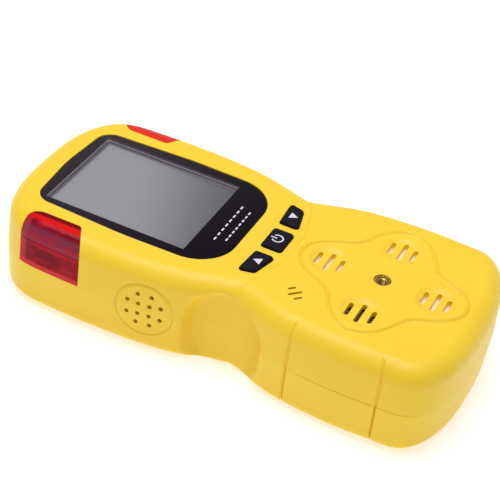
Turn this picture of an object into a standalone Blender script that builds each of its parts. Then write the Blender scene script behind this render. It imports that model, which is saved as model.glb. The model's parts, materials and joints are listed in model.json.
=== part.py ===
"""Portable four-gas detector, modelled piece by piece.

Frame: metres, +Z out of the display face, +Y towards the display end, +X to the user's right.
The origin is the middle of the back face, on which the instrument rests.
All sizes below are in millimetres and are scaled to metres once, when a mesh is stored.
"""

import math

import bmesh
import bpy
from mathutils import Matrix, Vector

MM = 0.001

# ---- driving dimensions, millimetres ---------------------------------------------------------
THICKNESS = 32.0          # back face to the top of the sensor block
HEAD_TOP = 31.6           # the display head sits a little below the sensor block
SEAM = 16.0               # where the front cover meets the rear cover
GAP = 0.3                 # clearance between neighbouring pieces
WALL = 2.2
CEILING = 29.4            # inner face of the front cover's top wall
SENSOR_END = -78.7
DISPLAY_END = 78.7
SENSOR_END_LENGTH = 16.5  # how far each rounded end reaches along the body
DISPLAY_END_LENGTH = 22.0
SENSOR_END_POWER = 2.5    # how square each end is: 2 is an ellipse
DISPLAY_END_POWER = 2.7
MIDDLE_LEVELS = (10.0, 22.0)  # extra levels between the two rounded edges
TOP_RADIUS = 6.0
BACK_RADIUS = 4.0
LOWER_DRAFT = 0.8
UPPER_DRAFT = 0.6
# half width of the body at its widest level, at places along it
WIDTHS = (
    (-79, 36.2), (-62, 36.9), (-47, 37.4), (-36, 36.9), (-28, 36.0), (-21, 34.5), (-16, 32.7),
    (-11.5, 31.1), (-9.4, 30.2), (-7.6, 29.6), (-5.8, 30.1), (-3, 30.9), (2, 32.5), (11, 35.0),
    (23, 36.6), (37, 37.2), (50, 37.1), (63, 36.4), (79, 35.0),
)

POCKET_FLOOR = 28.8       # half width left between the two grip pockets
POCKET_MIDDLE = (-5.0, 15.5)  # along the body, and above the back
POCKET_REACH = 11.6
POCKET_FLARE = 1.12       # how much larger a pocket is at its tool's outer end
POCKET_BACKING = 0.6      # how fast the inner wall spreads again beyond a pocket
POCKET_STATIONS = (-19.2, -17.4, -7.6, 7.4, 9.4)  # extra places at which the sides are shaped

SENSOR_CENTRE = -43.2     # the calibration insert, in the middle of the four sensors
SENSOR_OFFSET = 17.8
SENSOR_RADIUS = 10.0
SENSORS = (
    ("oxygen", 1, 0), ("carbon_monoxide", 0, 1), ("hydrogen_sulfide", 0, -1), ("combustible", -1, 0),
)
DISH_RADIUS = 6.4
DISH_DEPTH = 0.8
SLOT_WIDTH = 1.5
SLOT_PITCH = 3.8
SLOT_LENGTHS = (6.2, 9.2, 6.2)
BEAD_TIP = 27.4           # the raised line round the sensors: its reach at a sensor, and between two
BEAD_WAIST = 19.2
BEAD_RADIUS = 0.85
BEAD_HEIGHT = 0.4
INSERT_RADIUS = 2.6
INSERT_BORE = 1.25
INSERT_SPAN = (26.4, 31.7)
INSERT_BOSS = (4.4, 24.0)  # radius, and the height of its lower end

SENSOR_SPAN = (12.3, 27.4)  # heights of a sensor's foot and top
SENSOR_FOOT = 1.7
GASKET = (7.4, 9.4, 27.7, 29.1)  # inner and outer radius, bottom, top
FILTER = (7.0, 27.9, 28.6)  # radius, bottom, top

STEP_MIDDLE = -13.9       # where the step down to the display head crosses the middle
STEP_BEND = 0.0093
VENT_SLOTS = ((-18.6, -21.2, 2.8), (-20.1, -22.6, 4.6), (-21.8, -24.6, 2.8))  # x, y, length
VENT_WIDTH = 0.7
VENT_TURN = -38.0
VENT_MEMBRANE = (-20.1, -22.7)
VENT_RADIUS = 3.4

DOOR = (-58.4, -28.7)     # the battery door's two edges
DOOR_WALL = 2.2
TRAY_WALL = 4.1           # outside of the door to the inside of the tray it covers
BATTERY = (46.0, 24.0, 6.0)
BATTERY_SHIFT = 1.6       # the cell sits to one side, and its contacts fill the rest
BATTERY_BOTTOM = 2.8
TRAY_HALF = 27.0
TRAY_TOP = 10.3

GROOVE_WIDTH = 0.6        # cosmetic grooves over the battery door's edges
GROOVE_DEPTH = 0.5
GROOVE_LENGTH = 9.4
GROOVE_REACH = 35.0       # how far out along X their middles lie
OUTER_GROOVE = -57.0

SPEAKER = (19.5, 16.2)    # along the body, and above the back
SPEAKER_RADIUS = 9.5
SPEAKER_FLANGE = 10.8
SPEAKER_SEAT = 11.1       # room for the flange inside the wall
GRILLE_HOLLOW = 7.8
GRILLE_BACK = -31.4       # the grille's inner face
BUZZER = (8.6, -31.1, -26.4)  # radius, and its two faces along X
BUZZER_GASKET = (6.6, 7.5, -33.9)  # inner and outer radius, outer face
SPEAKER_HOLES = ((4, 2.65, 45.0), (8, 5.95, 22.5))

SLANT = 27.6              # lean of the lenses' lower edge and of the outer side groove, degrees
ALARM_EDGE = 28.2         # how far in the alarm lens reaches over the face
ALARM_SPAN = (42.4, 64.3)
ALARM_WALL = 2.0

LED_MIDDLE = 20.4
LED_HALF = 2.5
LED_SPAN = (19.6, 21.7)

DISPLAY_MIDDLE = 40.1
LCD_HALF = (20.9, 25.4)
LENS_BOTTOM = 2.3
LENS_TOP = 69.0
LENS_SPAN = (30.35, 31.45)
LENS_SEAT = 29.8
TAPE_SPAN = (29.95, 30.2)
LCD_SPAN = (27.4, 29.7)
FRAME_SPAN = (24.2, 27.1)

KEY_TOP = 32.6
KEY_CORNER = 1.4
KEY_FLANGE = (27.7, 28.7)
KEY_FLANGE_REACH = 1.0
WEB_SPAN = (27.9, 28.4)
WEB_CLEARANCE = 1.45
SWITCH_HALF = 3.0
SWITCH_SPAN = (23.9, 26.3)
SWITCH_BORE = 2.1
PLUNGER_RADIUS = 1.7
PLUNGER_SPAN = (25.0, 27.4)

MAIN_BOARD = (22.0, 23.6)  # heights of each board's two faces
SENSOR_BOARD = (10.7, 12.0)
CHARGE_BOARD = (4.6, 6.0)

SCREWS = ((26.5, 66.0), (23.0, -16.0), (24.0, -67.5))
DOOR_SCREW_X = 31.0
RIB_RADIUS = 2.6          # screw posts of the front cover, and of the rear cover
POST_RADIUS = 3.0
SCREW_BORE = 1.45
SCREW_SEAT = 2.5          # radius of the hollow round each screw's head
SCREW_HEAD = 2.1
SCREW_SHANK = 1.15
SCREW_SOCKET = 1.1

VIBRATOR = (30.0, 6.2)    # along the body, and above the back
VIBRATOR_RADIUS = 3.2
WEIGHT_RADIUS = 2.9
SHAFT_RADIUS = 0.9

PORT_MIDDLE = 8.7         # height of the charge port above the back
PORT_HINGE = (78.15, 5.3)
PORT_HALF = (5.2, 2.3)    # half width and half height of the opening
FLAP_HALF = 7.8
FLAP_TOP = 12.6
FLAP_CORNER = 2.2
FLAP_FACES = (77.85, 78.55)
BARREL_RADIUS = 0.4

LABEL_SPAN = (0.15, 0.45)

PARTS = bpy.data.collections.new("portable_gas_detector")
CUTTERS = bpy.data.collections.new("cutters")

MATERIALS = {
    # name: colour, roughness, metallic
    "yellow_shell": ((0.90, 0.55, 0.05), 0.42, 0.0),
    "black_lens": ((0.012, 0.010, 0.016), 0.08, 0.0),
    "display_grey": ((0.26, 0.27, 0.28), 0.25, 0.0),
    "key_rubber": ((0.015, 0.014, 0.017), 0.55, 0.0),
    "alarm_red": ((0.45, 0.01, 0.02), 0.12, 0.0),
    "grey_rubber": ((0.06, 0.06, 0.065), 0.8, 0.0),
    "white_plastic": ((0.80, 0.79, 0.76), 0.5, 0.0),
    "black_plastic": ((0.03, 0.03, 0.03), 0.5, 0.0),
    "board_green": ((0.02, 0.16, 0.07), 0.45, 0.0),
    "steel": ((0.55, 0.55, 0.56), 0.3, 1.0),
    "brass": ((0.80, 0.58, 0.24), 0.3, 1.0),
    "filter_white": ((0.85, 0.72, 0.68), 0.9, 0.0),
    "steel_mesh": ((0.20, 0.19, 0.18), 0.5, 1.0),
    "battery_wrap": ((0.10, 0.22, 0.45), 0.4, 0.0),
    "label_silver": ((0.62, 0.63, 0.64), 0.35, 0.0),
}


# ---- shared tools ----------------------------------------------------------------------------
def clear_scene():
    for thing in list(bpy.data.objects):
        bpy.data.objects.remove(thing, do_unlink=True)
    for collection in (PARTS, CUTTERS):
        bpy.context.scene.collection.children.link(collection)
    CUTTERS.hide_render = True


def material(name):
    found = bpy.data.materials.get(name)
    if found:
        return found
    colour, roughness, metallic = MATERIALS[name]
    made = bpy.data.materials.new(name)
    made.use_nodes = True
    shader = made.node_tree.nodes["Principled BSDF"]
    shader.inputs["Base Color"].default_value = (*colour, 1.0)
    shader.inputs["Roughness"].default_value = roughness
    shader.inputs["Metallic"].default_value = metallic
    return made


def store(name, bm, finish=None, smooth=40.0):
    """The mesh as an object: a part when it has a finish, and otherwise a cutter."""
    bmesh.ops.scale(bm, vec=(MM, MM, MM), verts=bm.verts)
    bmesh.ops.recalc_face_normals(bm, faces=bm.faces)
    mesh = bpy.data.meshes.new(name)
    bm.to_mesh(mesh)
    bm.free()
    made = bpy.data.objects.new(name, mesh)
    if finish:
        PARTS.objects.link(made)
        mesh.materials.append(material(finish))
        mesh.shade_smooth()
        mesh.set_sharp_from_angle(angle=math.radians(smooth))
    else:
        CUTTERS.objects.link(made)
        made.hide_render = True
        made.display_type = "WIRE"
    return made


def change(target, tool, operation="DIFFERENCE"):
    step = target.modifiers.new(tool.name, "BOOLEAN")
    step.operation = operation
    step.solver = "EXACT"
    step.object = tool
    return target


def set_origin(target, point):
    """Moves the object's origin to a point of the frame, in millimetres, and leaves its shape in place."""
    place = Vector(point) * MM
    target.data.transform(Matrix.Translation(-place))
    target.location = place


def add_box(bm, low, high, turn=0.0):
    middle = [(a + b) / 2 for a, b in zip(low, high)]
    size = [b - a for a, b in zip(low, high)]
    place = Matrix.Translation(middle) @ Matrix.Rotation(math.radians(turn), 4, "Z")
    bmesh.ops.create_cube(bm, size=1.0, matrix=place @ Matrix.Diagonal((*size, 1.0)))


def add_cylinder(bm, centre, radius, start, end, axis="Z", sides=32, end_radius=None):
    """A cylinder or cone from start to end along an axis; centre gives the other two coordinates."""
    x, y = centre
    middle = (start + end) / 2
    place = {
        "Z": Matrix.Translation((x, y, middle)),
        "X": Matrix.Translation((middle, x, y)) @ Matrix.Rotation(math.pi / 2, 4, "Y"),
        "Y": Matrix.Translation((x, middle, y)) @ Matrix.Rotation(-math.pi / 2, 4, "X"),
    }[axis]
    bmesh.ops.create_cone(
        bm, cap_ends=True, segments=sides, radius1=radius,
        radius2=radius if end_radius is None else end_radius, depth=end - start, matrix=place,
    )


def add_prism(bm, outline, low, high):
    """A flat outline filled and given thickness, as a 2D curve, then taken over as a mesh."""
    curve = bpy.data.curves.new("outline", "CURVE")
    curve.dimensions = "2D"
    curve.fill_mode = "BOTH"
    curve.extrude = (high - low) / 2
    spline = curve.splines.new("POLY")
    spline.points.add(len(outline) - 1)
    for point, (x, y) in zip(spline.points, outline):
        point.co = (x, y, 0.0, 1.0)
    spline.use_cyclic_u = True
    holder = bpy.data.objects.new("outline", curve)
    CUTTERS.objects.link(holder)
    graph = bpy.context.evaluated_depsgraph_get()
    mesh = bpy.data.meshes.new_from_object(holder.evaluated_get(graph))
    mesh.transform(Matrix.Translation((0.0, 0.0, (low + high) / 2)))
    bm.from_mesh(mesh)
    bmesh.ops.remove_doubles(bm, verts=bm.verts, dist=1e-4)
    bpy.data.objects.remove(holder)
    bpy.data.meshes.remove(mesh)


def rounded(corners, steps=4):
    """The corners (x, y, radius) of a closed outline, each replaced by a tangent arc."""
    outline = []
    for i, (x, y, radius) in enumerate(corners):
        here = Vector((x, y))
        before = (Vector(corners[i - 1][:2]) - here).normalized()
        after = (Vector(corners[(i + 1) % len(corners)][:2]) - here).normalized()
        half = before.angle(after) / 2
        if radius <= 0 or half > math.radians(89.5):
            outline.append((x, y))
            continue
        centre = here + (before + after).normalized() * (radius / math.sin(half))
        first = here + before * (radius / math.tan(half)) - centre
        sweep = math.pi - 2 * half
        turn = 1 if before.x * after.y - before.y * after.x < 0 else -1
        for k in range(steps + 1):
            spoke = first.copy()
            spoke.rotate(Matrix.Rotation(turn * sweep * k / steps, 2))
            outline.append(tuple(centre + spoke))
    return outline


def mirrored(points):
    """A half outline on +X, from one end of the body to the other, closed by its mirror image."""
    return points + [(-x, *rest) for x, *rest in reversed(points)]


def grown(outline, distance):
    """The outline moved outwards along its normals."""
    count = len(outline)
    area = sum(
        outline[i - 1][0] * outline[i][1] - outline[i][0] * outline[i - 1][1] for i in range(count)
    )
    side = 1 if area > 0 else -1
    moved = []
    for i, (x, y) in enumerate(outline):
        ax, ay = outline[i - 1]
        bx, by = outline[(i + 1) % count]
        length = math.hypot(bx - ax, by - ay)
        moved.append((x + side * distance * (by - ay) / length, y - side * distance * (bx - ax) / length))
    return moved


def stadium(x, y, length, width, turn=0.0, steps=4):
    """A slot's outline: two half circles joined by straight sides, along X before it is turned."""
    reach = (length - width) / 2
    outline = []
    for side in (1, -1):
        for k in range(steps + 1):
            angle = math.pi * (k / steps - 0.5)
            outline.append((side * (reach + width / 2 * math.cos(angle)), side * width / 2 * math.sin(angle)))
    c, s = math.cos(math.radians(turn)), math.sin(math.radians(turn))
    return [(x + c * u - s * v, y + s * u + c * v) for u, v in outline]


# ---- the body's outer form -------------------------------------------------------------------
def half_width(y):
    """A smooth curve through WIDTHS."""
    spans = zip(WIDTHS, WIDTHS[1:])
    i = next((k for k, (a, b) in enumerate(spans) if a[0] <= y <= b[0]), len(WIDTHS) - 2)

    def slope(k):
        a, b = WIDTHS[max(k - 1, 0)], WIDTHS[min(k + 1, len(WIDTHS) - 1)]
        return (b[1] - a[1]) / (b[0] - a[0])

    (y0, w0), (y1, w1) = WIDTHS[i], WIDTHS[i + 1]
    span = y1 - y0
    t = (y - y0) / span
    return (
        w0 * (1 + 2 * t) * (1 - t) ** 2 + w1 * t * t * (3 - 2 * t)
        + span * slope(i) * t * (1 - t) ** 2 - span * slope(i + 1) * t * t * (1 - t)
    )


def plan_outline(end_steps=8, middle_steps=22):
    """The body seen from above at its widest level, anticlockwise from the sensor end."""
    right = []
    for k in range(end_steps + 1):
        angle = math.pi / 2 * k / end_steps
        y = SENSOR_END + SENSOR_END_LENGTH * (1 - math.cos(angle) ** (2 / SENSOR_END_POWER))
        right.append((half_width(y) * math.sin(angle) ** (2 / SENSOR_END_POWER), y))
    start, end = right[-1][1], DISPLAY_END - DISPLAY_END_LENGTH
    even = [start + (end - start) * k / middle_steps for k in range(1, middle_steps)]
    spaced = [y for y in even if min(abs(y - other) for other in POCKET_STATIONS) > 1.0]
    right += [(half_width(y), y) for y in sorted(spaced + list(POCKET_STATIONS))]
    for k in range(end_steps, -1, -1):
        angle = math.pi / 2 * k / end_steps
        y = DISPLAY_END - DISPLAY_END_LENGTH * (1 - math.cos(angle) ** (2 / DISPLAY_END_POWER))
        right.append((half_width(y) * math.sin(angle) ** (2 / DISPLAY_END_POWER), y))
    left = [(-x, y) for x, y in reversed(right[1:-1])]
    return right + left


PLAN = plan_outline()


def level_inset(z, wall):
    """How far inside the widest outline the surface lies at height z, wall millimetres under the skin."""
    if z < SEAM:
        draft = LOWER_DRAFT * (1 - z / SEAM)
    else:
        draft = UPPER_DRAFT * (z - SEAM) / (THICKNESS - SEAM)
    low, high = BACK_RADIUS, THICKNESS - TOP_RADIUS
    inset = wall + draft
    for radius, depth in ((BACK_RADIUS, low - z), (TOP_RADIUS, z - high)):
        radius = max(radius - wall, GAP)
        if depth > 0:
            depth = min(depth, radius)
            inset += radius - math.sqrt(radius * radius - depth * depth)
    return inset


def grip_limit(y):
    """The half width left to the inner walls, which run behind the grip pockets."""
    past = max(0.0, abs(y - POCKET_MIDDLE[0]) - POCKET_REACH - 1.0)
    return POCKET_FLOOR + POCKET_BACKING * past * past


def soft_minimum(a, b, blend=0.8):
    share = max(0.0, blend - abs(a - b)) / blend
    return min(a, b) - share * share * blend / 4


def ring(z, wall):
    points = []
    for (x, y) in grown(PLAN, -level_inset(z, wall)):
        if wall > 0:
            x = math.copysign(soft_minimum(abs(x), grip_limit(y) - wall), x)
        points.append((x, y, z))
    return points


def heights(low, high, wall=0.0, curve_steps=3):
    """The levels from low to high that a lofted body needs, closer together round its two edges."""
    upper, lower = THICKNESS - TOP_RADIUS, BACK_RADIUS
    found = {low, high, SEAM, upper, lower, *MIDDLE_LEVELS}
    for k in range(1, curve_steps + 1):
        rise = math.sin(math.pi / 2 * k / curve_steps)
        found |= {upper + (TOP_RADIUS - wall) * rise, lower - (BACK_RADIUS - wall) * rise}
    return sorted(z for z in found if low <= z <= high)


def add_loft(bm, rings):
    """Skins closed rings of equal count and caps the first and the last."""
    rows = [[bm.verts.new(point) for point in points] for points in rings]
    for lower, upper in zip(rows, rows[1:]):
        for i in range(len(lower)):
            j = (i + 1) % len(lower)
            bm.faces.new((lower[i], lower[j], upper[j], upper[i]))
    bm.faces.new(list(reversed(rows[0])))
    bm.faces.new(rows[-1])


def add_body(bm, low, high, wall=0.0):
    add_loft(bm, [ring(z, wall) for z in heights(low, high, wall)])


def body_tool(name, low, high, wall):
    bm = bmesh.new()
    add_body(bm, low, high, wall)
    return store(name, bm)


def pocket_ring(x, reach, steps=40):
    """An arch in a plane across X: round above its middle, and nearly square below."""
    points = []
    for k in range(steps):
        angle = 2 * math.pi * k / steps
        along, up = math.cos(angle), math.sin(angle)
        power = 1.0 if up >= 0 else 0.5
        y = POCKET_MIDDLE[0] + reach * math.copysign(abs(along) ** power, along)
        z = POCKET_MIDDLE[1] + reach * math.copysign(abs(up) ** power, up)
        points.append((x, y, z))
    return points


def grip_pockets():
    """The hollow for a thumb or finger in each side of the waist."""
    bm = bmesh.new()
    for side in (1, -1):
        floor = pocket_ring(side * POCKET_FLOOR, POCKET_REACH)
        outer = pocket_ring(side * 45.0, POCKET_REACH * POCKET_FLARE)
        add_loft(bm, [floor, outer])
    return store("grip_pockets", bm)


def box_tool(name, low, high):
    bm = bmesh.new()
    add_box(bm, low, high)
    return store(name, bm)


# ---- outlines shared by openings and the pieces that fill them -------------------------------
def lens_outline():
    half = [
        (23.6, LENS_BOTTOM, 13.5), (24.3, 34.8, 90.0), (22.6, LENS_TOP - 1.6, 6.0), (0.0, LENS_TOP, 60.0),
    ]
    return rounded(half + [(-x, y, r) for x, y, r in reversed(half[:-1])], steps=6)


KEYS = {
    "power": [(5.3, -11.0), (5.3, -3.9), (-5.3, -3.9), (-5.3, -11.0)],
    "right": [(8.8, -10.7), (18.7, -8.3), (20.1, -3.1), (8.8, -3.9)],
    "left": [(-8.8, -10.7), (-8.8, -3.9), (-20.1, -3.1), (-18.7, -8.3)],
}


def key_outline(name, grow=0.0):
    outline = rounded([(x, y, KEY_CORNER) for x, y in KEYS[name]])
    return grown(outline, grow) if grow else outline


def key_middle(name):
    xs, ys = zip(*KEYS[name])
    return (min(xs) + max(xs)) / 2, (min(ys) + max(ys)) / 2


def alarm_outline(side, grow=0.0):
    low, high = ALARM_SPAN
    wall, outer = 37.0, 45.0
    rise = math.tan(math.radians(SLANT))
    corners = [
        (ALARM_EDGE, low + (wall - ALARM_EDGE) * rise, 1.5), (outer, low - (outer - wall) * rise, 0.0),
        (outer, high, 0.0), (ALARM_EDGE, high, 4.5),
    ]
    outline = grown(rounded(corners, steps=5), grow) if grow else rounded(corners, steps=5)
    return [(side * x, y) for x, y in outline]


def sensor_places():
    return [(name, SENSOR_OFFSET * x, SENSOR_CENTRE + SENSOR_OFFSET * y) for name, x, y in SENSORS]


def screw_places():
    return [(side * x, y) for x, y in SCREWS for side in (1, -1)]


def bead_line(steps=48):
    """The four-lobed line round the sensors, as a radius that rises and falls four times a turn."""
    mean, swing = (BEAD_TIP + BEAD_WAIST) / 2, (BEAD_TIP - BEAD_WAIST) / 2
    line = []
    for k in range(steps):
        angle = 2 * math.pi * k / steps
        radius = mean + swing * math.cos(4 * angle)
        line.append((radius * math.cos(angle), SENSOR_CENTRE + radius * math.sin(angle)))
    return line


# ---- front cover -----------------------------------------------------------------------------
def front_ribs():
    bm = bmesh.new()
    for place in screw_places():
        add_cylinder(bm, place, RIB_RADIUS, SEAM, CEILING + 0.6, sides=14)
    radius, bottom = INSERT_BOSS
    add_cylinder(bm, (0.0, SENSOR_CENTRE), radius, bottom, CEILING + 0.6, sides=24)
    return store("front_ribs", bm)


def display_ledge():
    """Thickens the ceiling under the lens, where its seat is cut from above."""
    bm = bmesh.new()
    half = [(26, 0.4, 4), (26, 70.6, 4)]
    add_prism(bm, rounded(mirrored(half)), 28.6, CEILING + 0.6)
    return store("display_ledge", bm)


def head_step():
    """Takes the display head down to its own level, along an arc that faces the sensors."""
    arc = [(x, STEP_MIDDLE + STEP_BEND * x * x) for x in range(-45, 46, 5)]
    bm = bmesh.new()
    add_prism(bm, arc + [(45.0, 90.0), (-45.0, 90.0)], HEAD_TOP, THICKNESS + 2)
    return store("head_step", bm)


def bead():
    curve = bpy.data.curves.new("bead", "CURVE")
    curve.dimensions = "3D"
    curve.bevel_depth = BEAD_RADIUS
    curve.bevel_resolution = 1
    line = bead_line()
    spline = curve.splines.new("POLY")
    spline.points.add(len(line) - 1)
    for point, (x, y) in zip(spline.points, line):
        point.co = (x, y, THICKNESS + BEAD_HEIGHT - BEAD_RADIUS, 1.0)
    spline.use_cyclic_u = True
    holder = bpy.data.objects.new("bead", curve)
    CUTTERS.objects.link(holder)
    graph = bpy.context.evaluated_depsgraph_get()
    mesh = bpy.data.meshes.new_from_object(holder.evaluated_get(graph))
    bm = bmesh.new()
    bm.from_mesh(mesh)
    bmesh.ops.remove_doubles(bm, verts=bm.verts, dist=1e-4)
    bpy.data.objects.remove(holder)
    bpy.data.meshes.remove(mesh)
    return store("bead_tool", bm)


def front_recesses():
    """The shallow hollows: a dish at each sensor, the lens seat, and the insert's hole."""
    bm = bmesh.new()
    for _, x, y in sensor_places():
        floor = THICKNESS - DISH_DEPTH
        add_cylinder(bm, (x, y), DISH_RADIUS - 1.2, floor, THICKNESS + 0.2, sides=24, end_radius=DISH_RADIUS)
    add_prism(bm, grown(lens_outline(), 0.25), LENS_SEAT, HEAD_TOP + 2)
    add_cylinder(bm, (0.0, SENSOR_CENTRE), INSERT_RADIUS + GAP, 26.0, THICKNESS + 2, sides=24)
    return store("front_recesses", bm)


def vent_slots():
    """Three short slots, side by side, through which the case breathes."""
    return [stadium(x, y, length, VENT_WIDTH, VENT_TURN, steps=3) for x, y, length in VENT_SLOTS]


def front_openings():
    """Everything that goes right through the top wall."""
    bm = bmesh.new()
    for _, x, y in sensor_places():
        for row, length in zip((-1, 0, 1), SLOT_LENGTHS):
            add_prism(bm, stadium(x, y + row * SLOT_PITCH, length, SLOT_WIDTH), CEILING - 1, THICKNESS + 2)
    for outline in vent_slots():
        add_prism(bm, outline, CEILING - 1, THICKNESS + 2)
    half_x, half_y = LCD_HALF[0] + GAP, LCD_HALF[1] + GAP
    low, high = DISPLAY_MIDDLE - half_y, DISPLAY_MIDDLE + half_y
    add_box(bm, (-half_x, low, 27.0), (half_x, high, 31.0))
    for name in KEYS:
        add_prism(bm, key_outline(name, GAP), CEILING - 1, THICKNESS + 3)
    for side in (1, -1):
        add_prism(bm, alarm_outline(side, GAP), SEAM - 2, THICKNESS + 3)
    for place in screw_places():
        add_cylinder(bm, place, SCREW_BORE, SEAM - 1, SEAM + 9, sides=10)
    return store("front_openings", bm)


def side_grooves():
    """Two cosmetic grooves on each side, over the battery door's edges."""
    bm = bmesh.new()
    half, length = GROOVE_WIDTH / 2, GROOVE_LENGTH / 2
    for side in (1, -1):
        x = side * GROOVE_REACH
        for y, turn in ((DOOR[1], 0.0), (OUTER_GROOVE, -side * SLANT)):
            low, high = (x - length, y - half, SEAM - 1), (x + length, y + half, THICKNESS + 2)
            add_box(bm, low, high, turn=turn)
    grooves = store("side_grooves", bm)
    floor = body_tool("groove_floor", SEAM - 3, THICKNESS - GROOVE_DEPTH, GROOVE_DEPTH)
    return change(grooves, floor)


def speaker_bore():
    bm = bmesh.new()
    add_cylinder(bm, SPEAKER, SPEAKER_RADIUS + GAP, -45, -30, axis="X", sides=32)
    return store("speaker_bore", bm)


def speaker_seat():
    """Room inside the wall for the grille's flange."""
    bm = bmesh.new()
    add_cylinder(bm, SPEAKER, SPEAKER_SEAT, -32.6, -25.0, axis="X", sides=32)
    return store("speaker_seat", bm)


def make_front_cover():
    bm = bmesh.new()
    add_body(bm, SEAM, THICKNESS)
    cover = store("front_cover", bm, "yellow_shell")
    change(cover, grip_pockets())
    change(cover, body_tool("front_hollow", SEAM - 6, CEILING, WALL))
    change(cover, front_ribs(), "UNION")
    change(cover, display_ledge(), "UNION")
    change(cover, head_step())
    change(cover, bead(), "UNION")
    change(cover, front_recesses())
    change(cover, front_openings())
    change(cover, side_grooves())
    change(cover, speaker_bore())
    change(cover, speaker_seat())


# ---- rear cover and battery door -------------------------------------------------------------
def rear_posts():
    bm = bmesh.new()
    for place in screw_places():
        add_cylinder(bm, place, POST_RADIUS, 1.0, SEAM - GAP, sides=14)
    return store("rear_posts", bm)


def battery_tray():
    """The well that holds the battery, with a boss each side for the door's screws."""
    low, high = DOOR
    bm = bmesh.new()
    add_box(bm, (-TRAY_HALF, low + 1.0, 3.2), (TRAY_HALF, high - 1.0, TRAY_TOP))
    for side in (1, -1):
        add_cylinder(bm, (side * DOOR_SCREW_X, SENSOR_CENTRE), RIB_RADIUS, 3.2, 9.6, sides=20)
    return store("battery_tray", bm)


def rear_openings():
    bm = bmesh.new()
    for place in screw_places():
        add_cylinder(bm, place, SCREW_BORE, 2.0, SEAM + 1, sides=10)
    middle = sum(DOOR) / 2
    half_x, half_y = BATTERY[0] / 2 + 2.2, BATTERY[1] / 2 + 0.6
    add_box(bm, (-half_x, middle - half_y, 1.0), (half_x, middle + half_y, 9.2))
    for side in (1, -1):
        add_cylinder(bm, (side * DOOR_SCREW_X, SENSOR_CENTRE), SCREW_BORE, 1.0, 8.6, sides=14)
    wide, tall = PORT_HALF
    add_box(bm, (-wide, 70.0, PORT_MIDDLE - tall), (wide, 90.0, PORT_MIDDLE + tall))
    return store("rear_openings", bm)


def rear_recesses():
    bm = bmesh.new()
    for place in screw_places():
        add_cylinder(bm, place, SCREW_SEAT, -1.0, 2.8, sides=16)
    half, top, bottom = FLAP_HALF + 0.4, FLAP_TOP + 0.4, PORT_HINGE[1] - 0.7
    corners = [(half, bottom, 1.2), (half, top, 2.4), (-half, top, 2.4), (-half, bottom, 1.2)]
    add_prism(bm, rounded(corners), -90.0, 0.25 - FLAP_FACES[0])
    turned = [v for v in bm.verts if v.co.z < -70.0]
    bmesh.ops.rotate(bm, verts=turned, cent=(0, 0, 0), matrix=Matrix.Rotation(math.pi / 2, 3, "X"))
    add_prism(bm, label_outline(GAP), -1.0, 0.7)
    return store("rear_recesses", bm)


def label_outline(grow=0.0):
    corners = [(20, 8, 3), (20, 52, 3), (-20, 52, 3), (-20, 8, 3)]
    return grown(rounded(corners), grow) if grow else rounded(corners)


def seal_seat():
    return body_tool("seal_seat", SEAM - 1.5, SEAM + 1.0, 1.25)


def make_rear_cover():
    bm = bmesh.new()
    add_body(bm, 0.0, SEAM - GAP)
    cover = store("rear_cover", bm, "yellow_shell")
    change(cover, grip_pockets())
    door_space = box_tool("door_space", (-50, DOOR[0], -1), (50, DOOR[1], SEAM + 1))
    change(door_space, body_tool("door_core", DOOR_WALL + GAP, SEAM + 2, DOOR_WALL + GAP))
    change(cover, door_space)
    change(cover, body_tool("tray_hollow", TRAY_WALL, SEAM + 1, TRAY_WALL))
    main_hollow = body_tool("rear_hollow", WALL, SEAM + 1, WALL)
    change(main_hollow, box_tool("tray_zone", (-50, DOOR[0] - WALL, 0), (50, DOOR[1] + WALL, SEAM + 2)))
    change(cover, main_hollow)
    change(cover, rear_posts(), "UNION")
    change(cover, battery_tray(), "UNION")
    change(cover, seal_seat())
    change(cover, rear_openings())
    change(cover, rear_recesses())
    change(cover, speaker_bore())
    change(cover, speaker_seat())


def make_battery_door():
    bm = bmesh.new()
    add_body(bm, 0.0, SEAM - GAP)
    door = store("battery_door", bm, "yellow_shell")
    keep = box_tool("door_keep", (-50, DOOR[0] + GAP, -1), (50, DOOR[1] - GAP, SEAM + 1))
    change(door, keep, "INTERSECT")
    change(door, body_tool("door_hollow", DOOR_WALL, SEAM + 1, DOOR_WALL))
    change(door, seal_seat())
    bm = bmesh.new()
    for side in (1, -1):
        add_cylinder(bm, (side * DOOR_SCREW_X, SENSOR_CENTRE), 1.4, -1.0, 4.0, sides=14)
    change(door, store("door_holes", bm))
    bm = bmesh.new()
    for side in (1, -1):
        add_cylinder(bm, (side * DOOR_SCREW_X, SENSOR_CENTRE), SCREW_SEAT, -1.0, 1.3, sides=20)
    change(door, store("door_head_seats", bm))


def make_case_seal():
    """A rubber ring in the rear cover's rim, open where the speaker grille crosses the seam."""
    bm = bmesh.new()
    add_body(bm, SEAM - 1.25, SEAM - 0.15, 1.5)
    seal = store("case_seal", bm, "grey_rubber")
    change(seal, body_tool("seal_inside", SEAM - 3, SEAM + 3, 2.15))
    low, high = SPEAKER[0] - SPEAKER_SEAT, SPEAKER[0] + SPEAKER_SEAT
    gap = box_tool("seal_gap", (-50, low, SEAM - 4), (-20, high, SEAM + 4))
    change(seal, gap)


# ---- display, keys and boards ----------------------------------------------------------------
def simple_prism(name, outline, low, high, finish):
    bm = bmesh.new()
    add_prism(bm, outline, low, high)
    return store(name, bm, finish)


def simple_box(name, low, high, finish, bevel=0.0):
    bm = bmesh.new()
    add_box(bm, low, high)
    made = store(name, bm, finish)
    if bevel:
        step = made.modifiers.new("edges", "BEVEL")
        step.width = bevel * MM
        step.segments = 1
    return made


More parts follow.
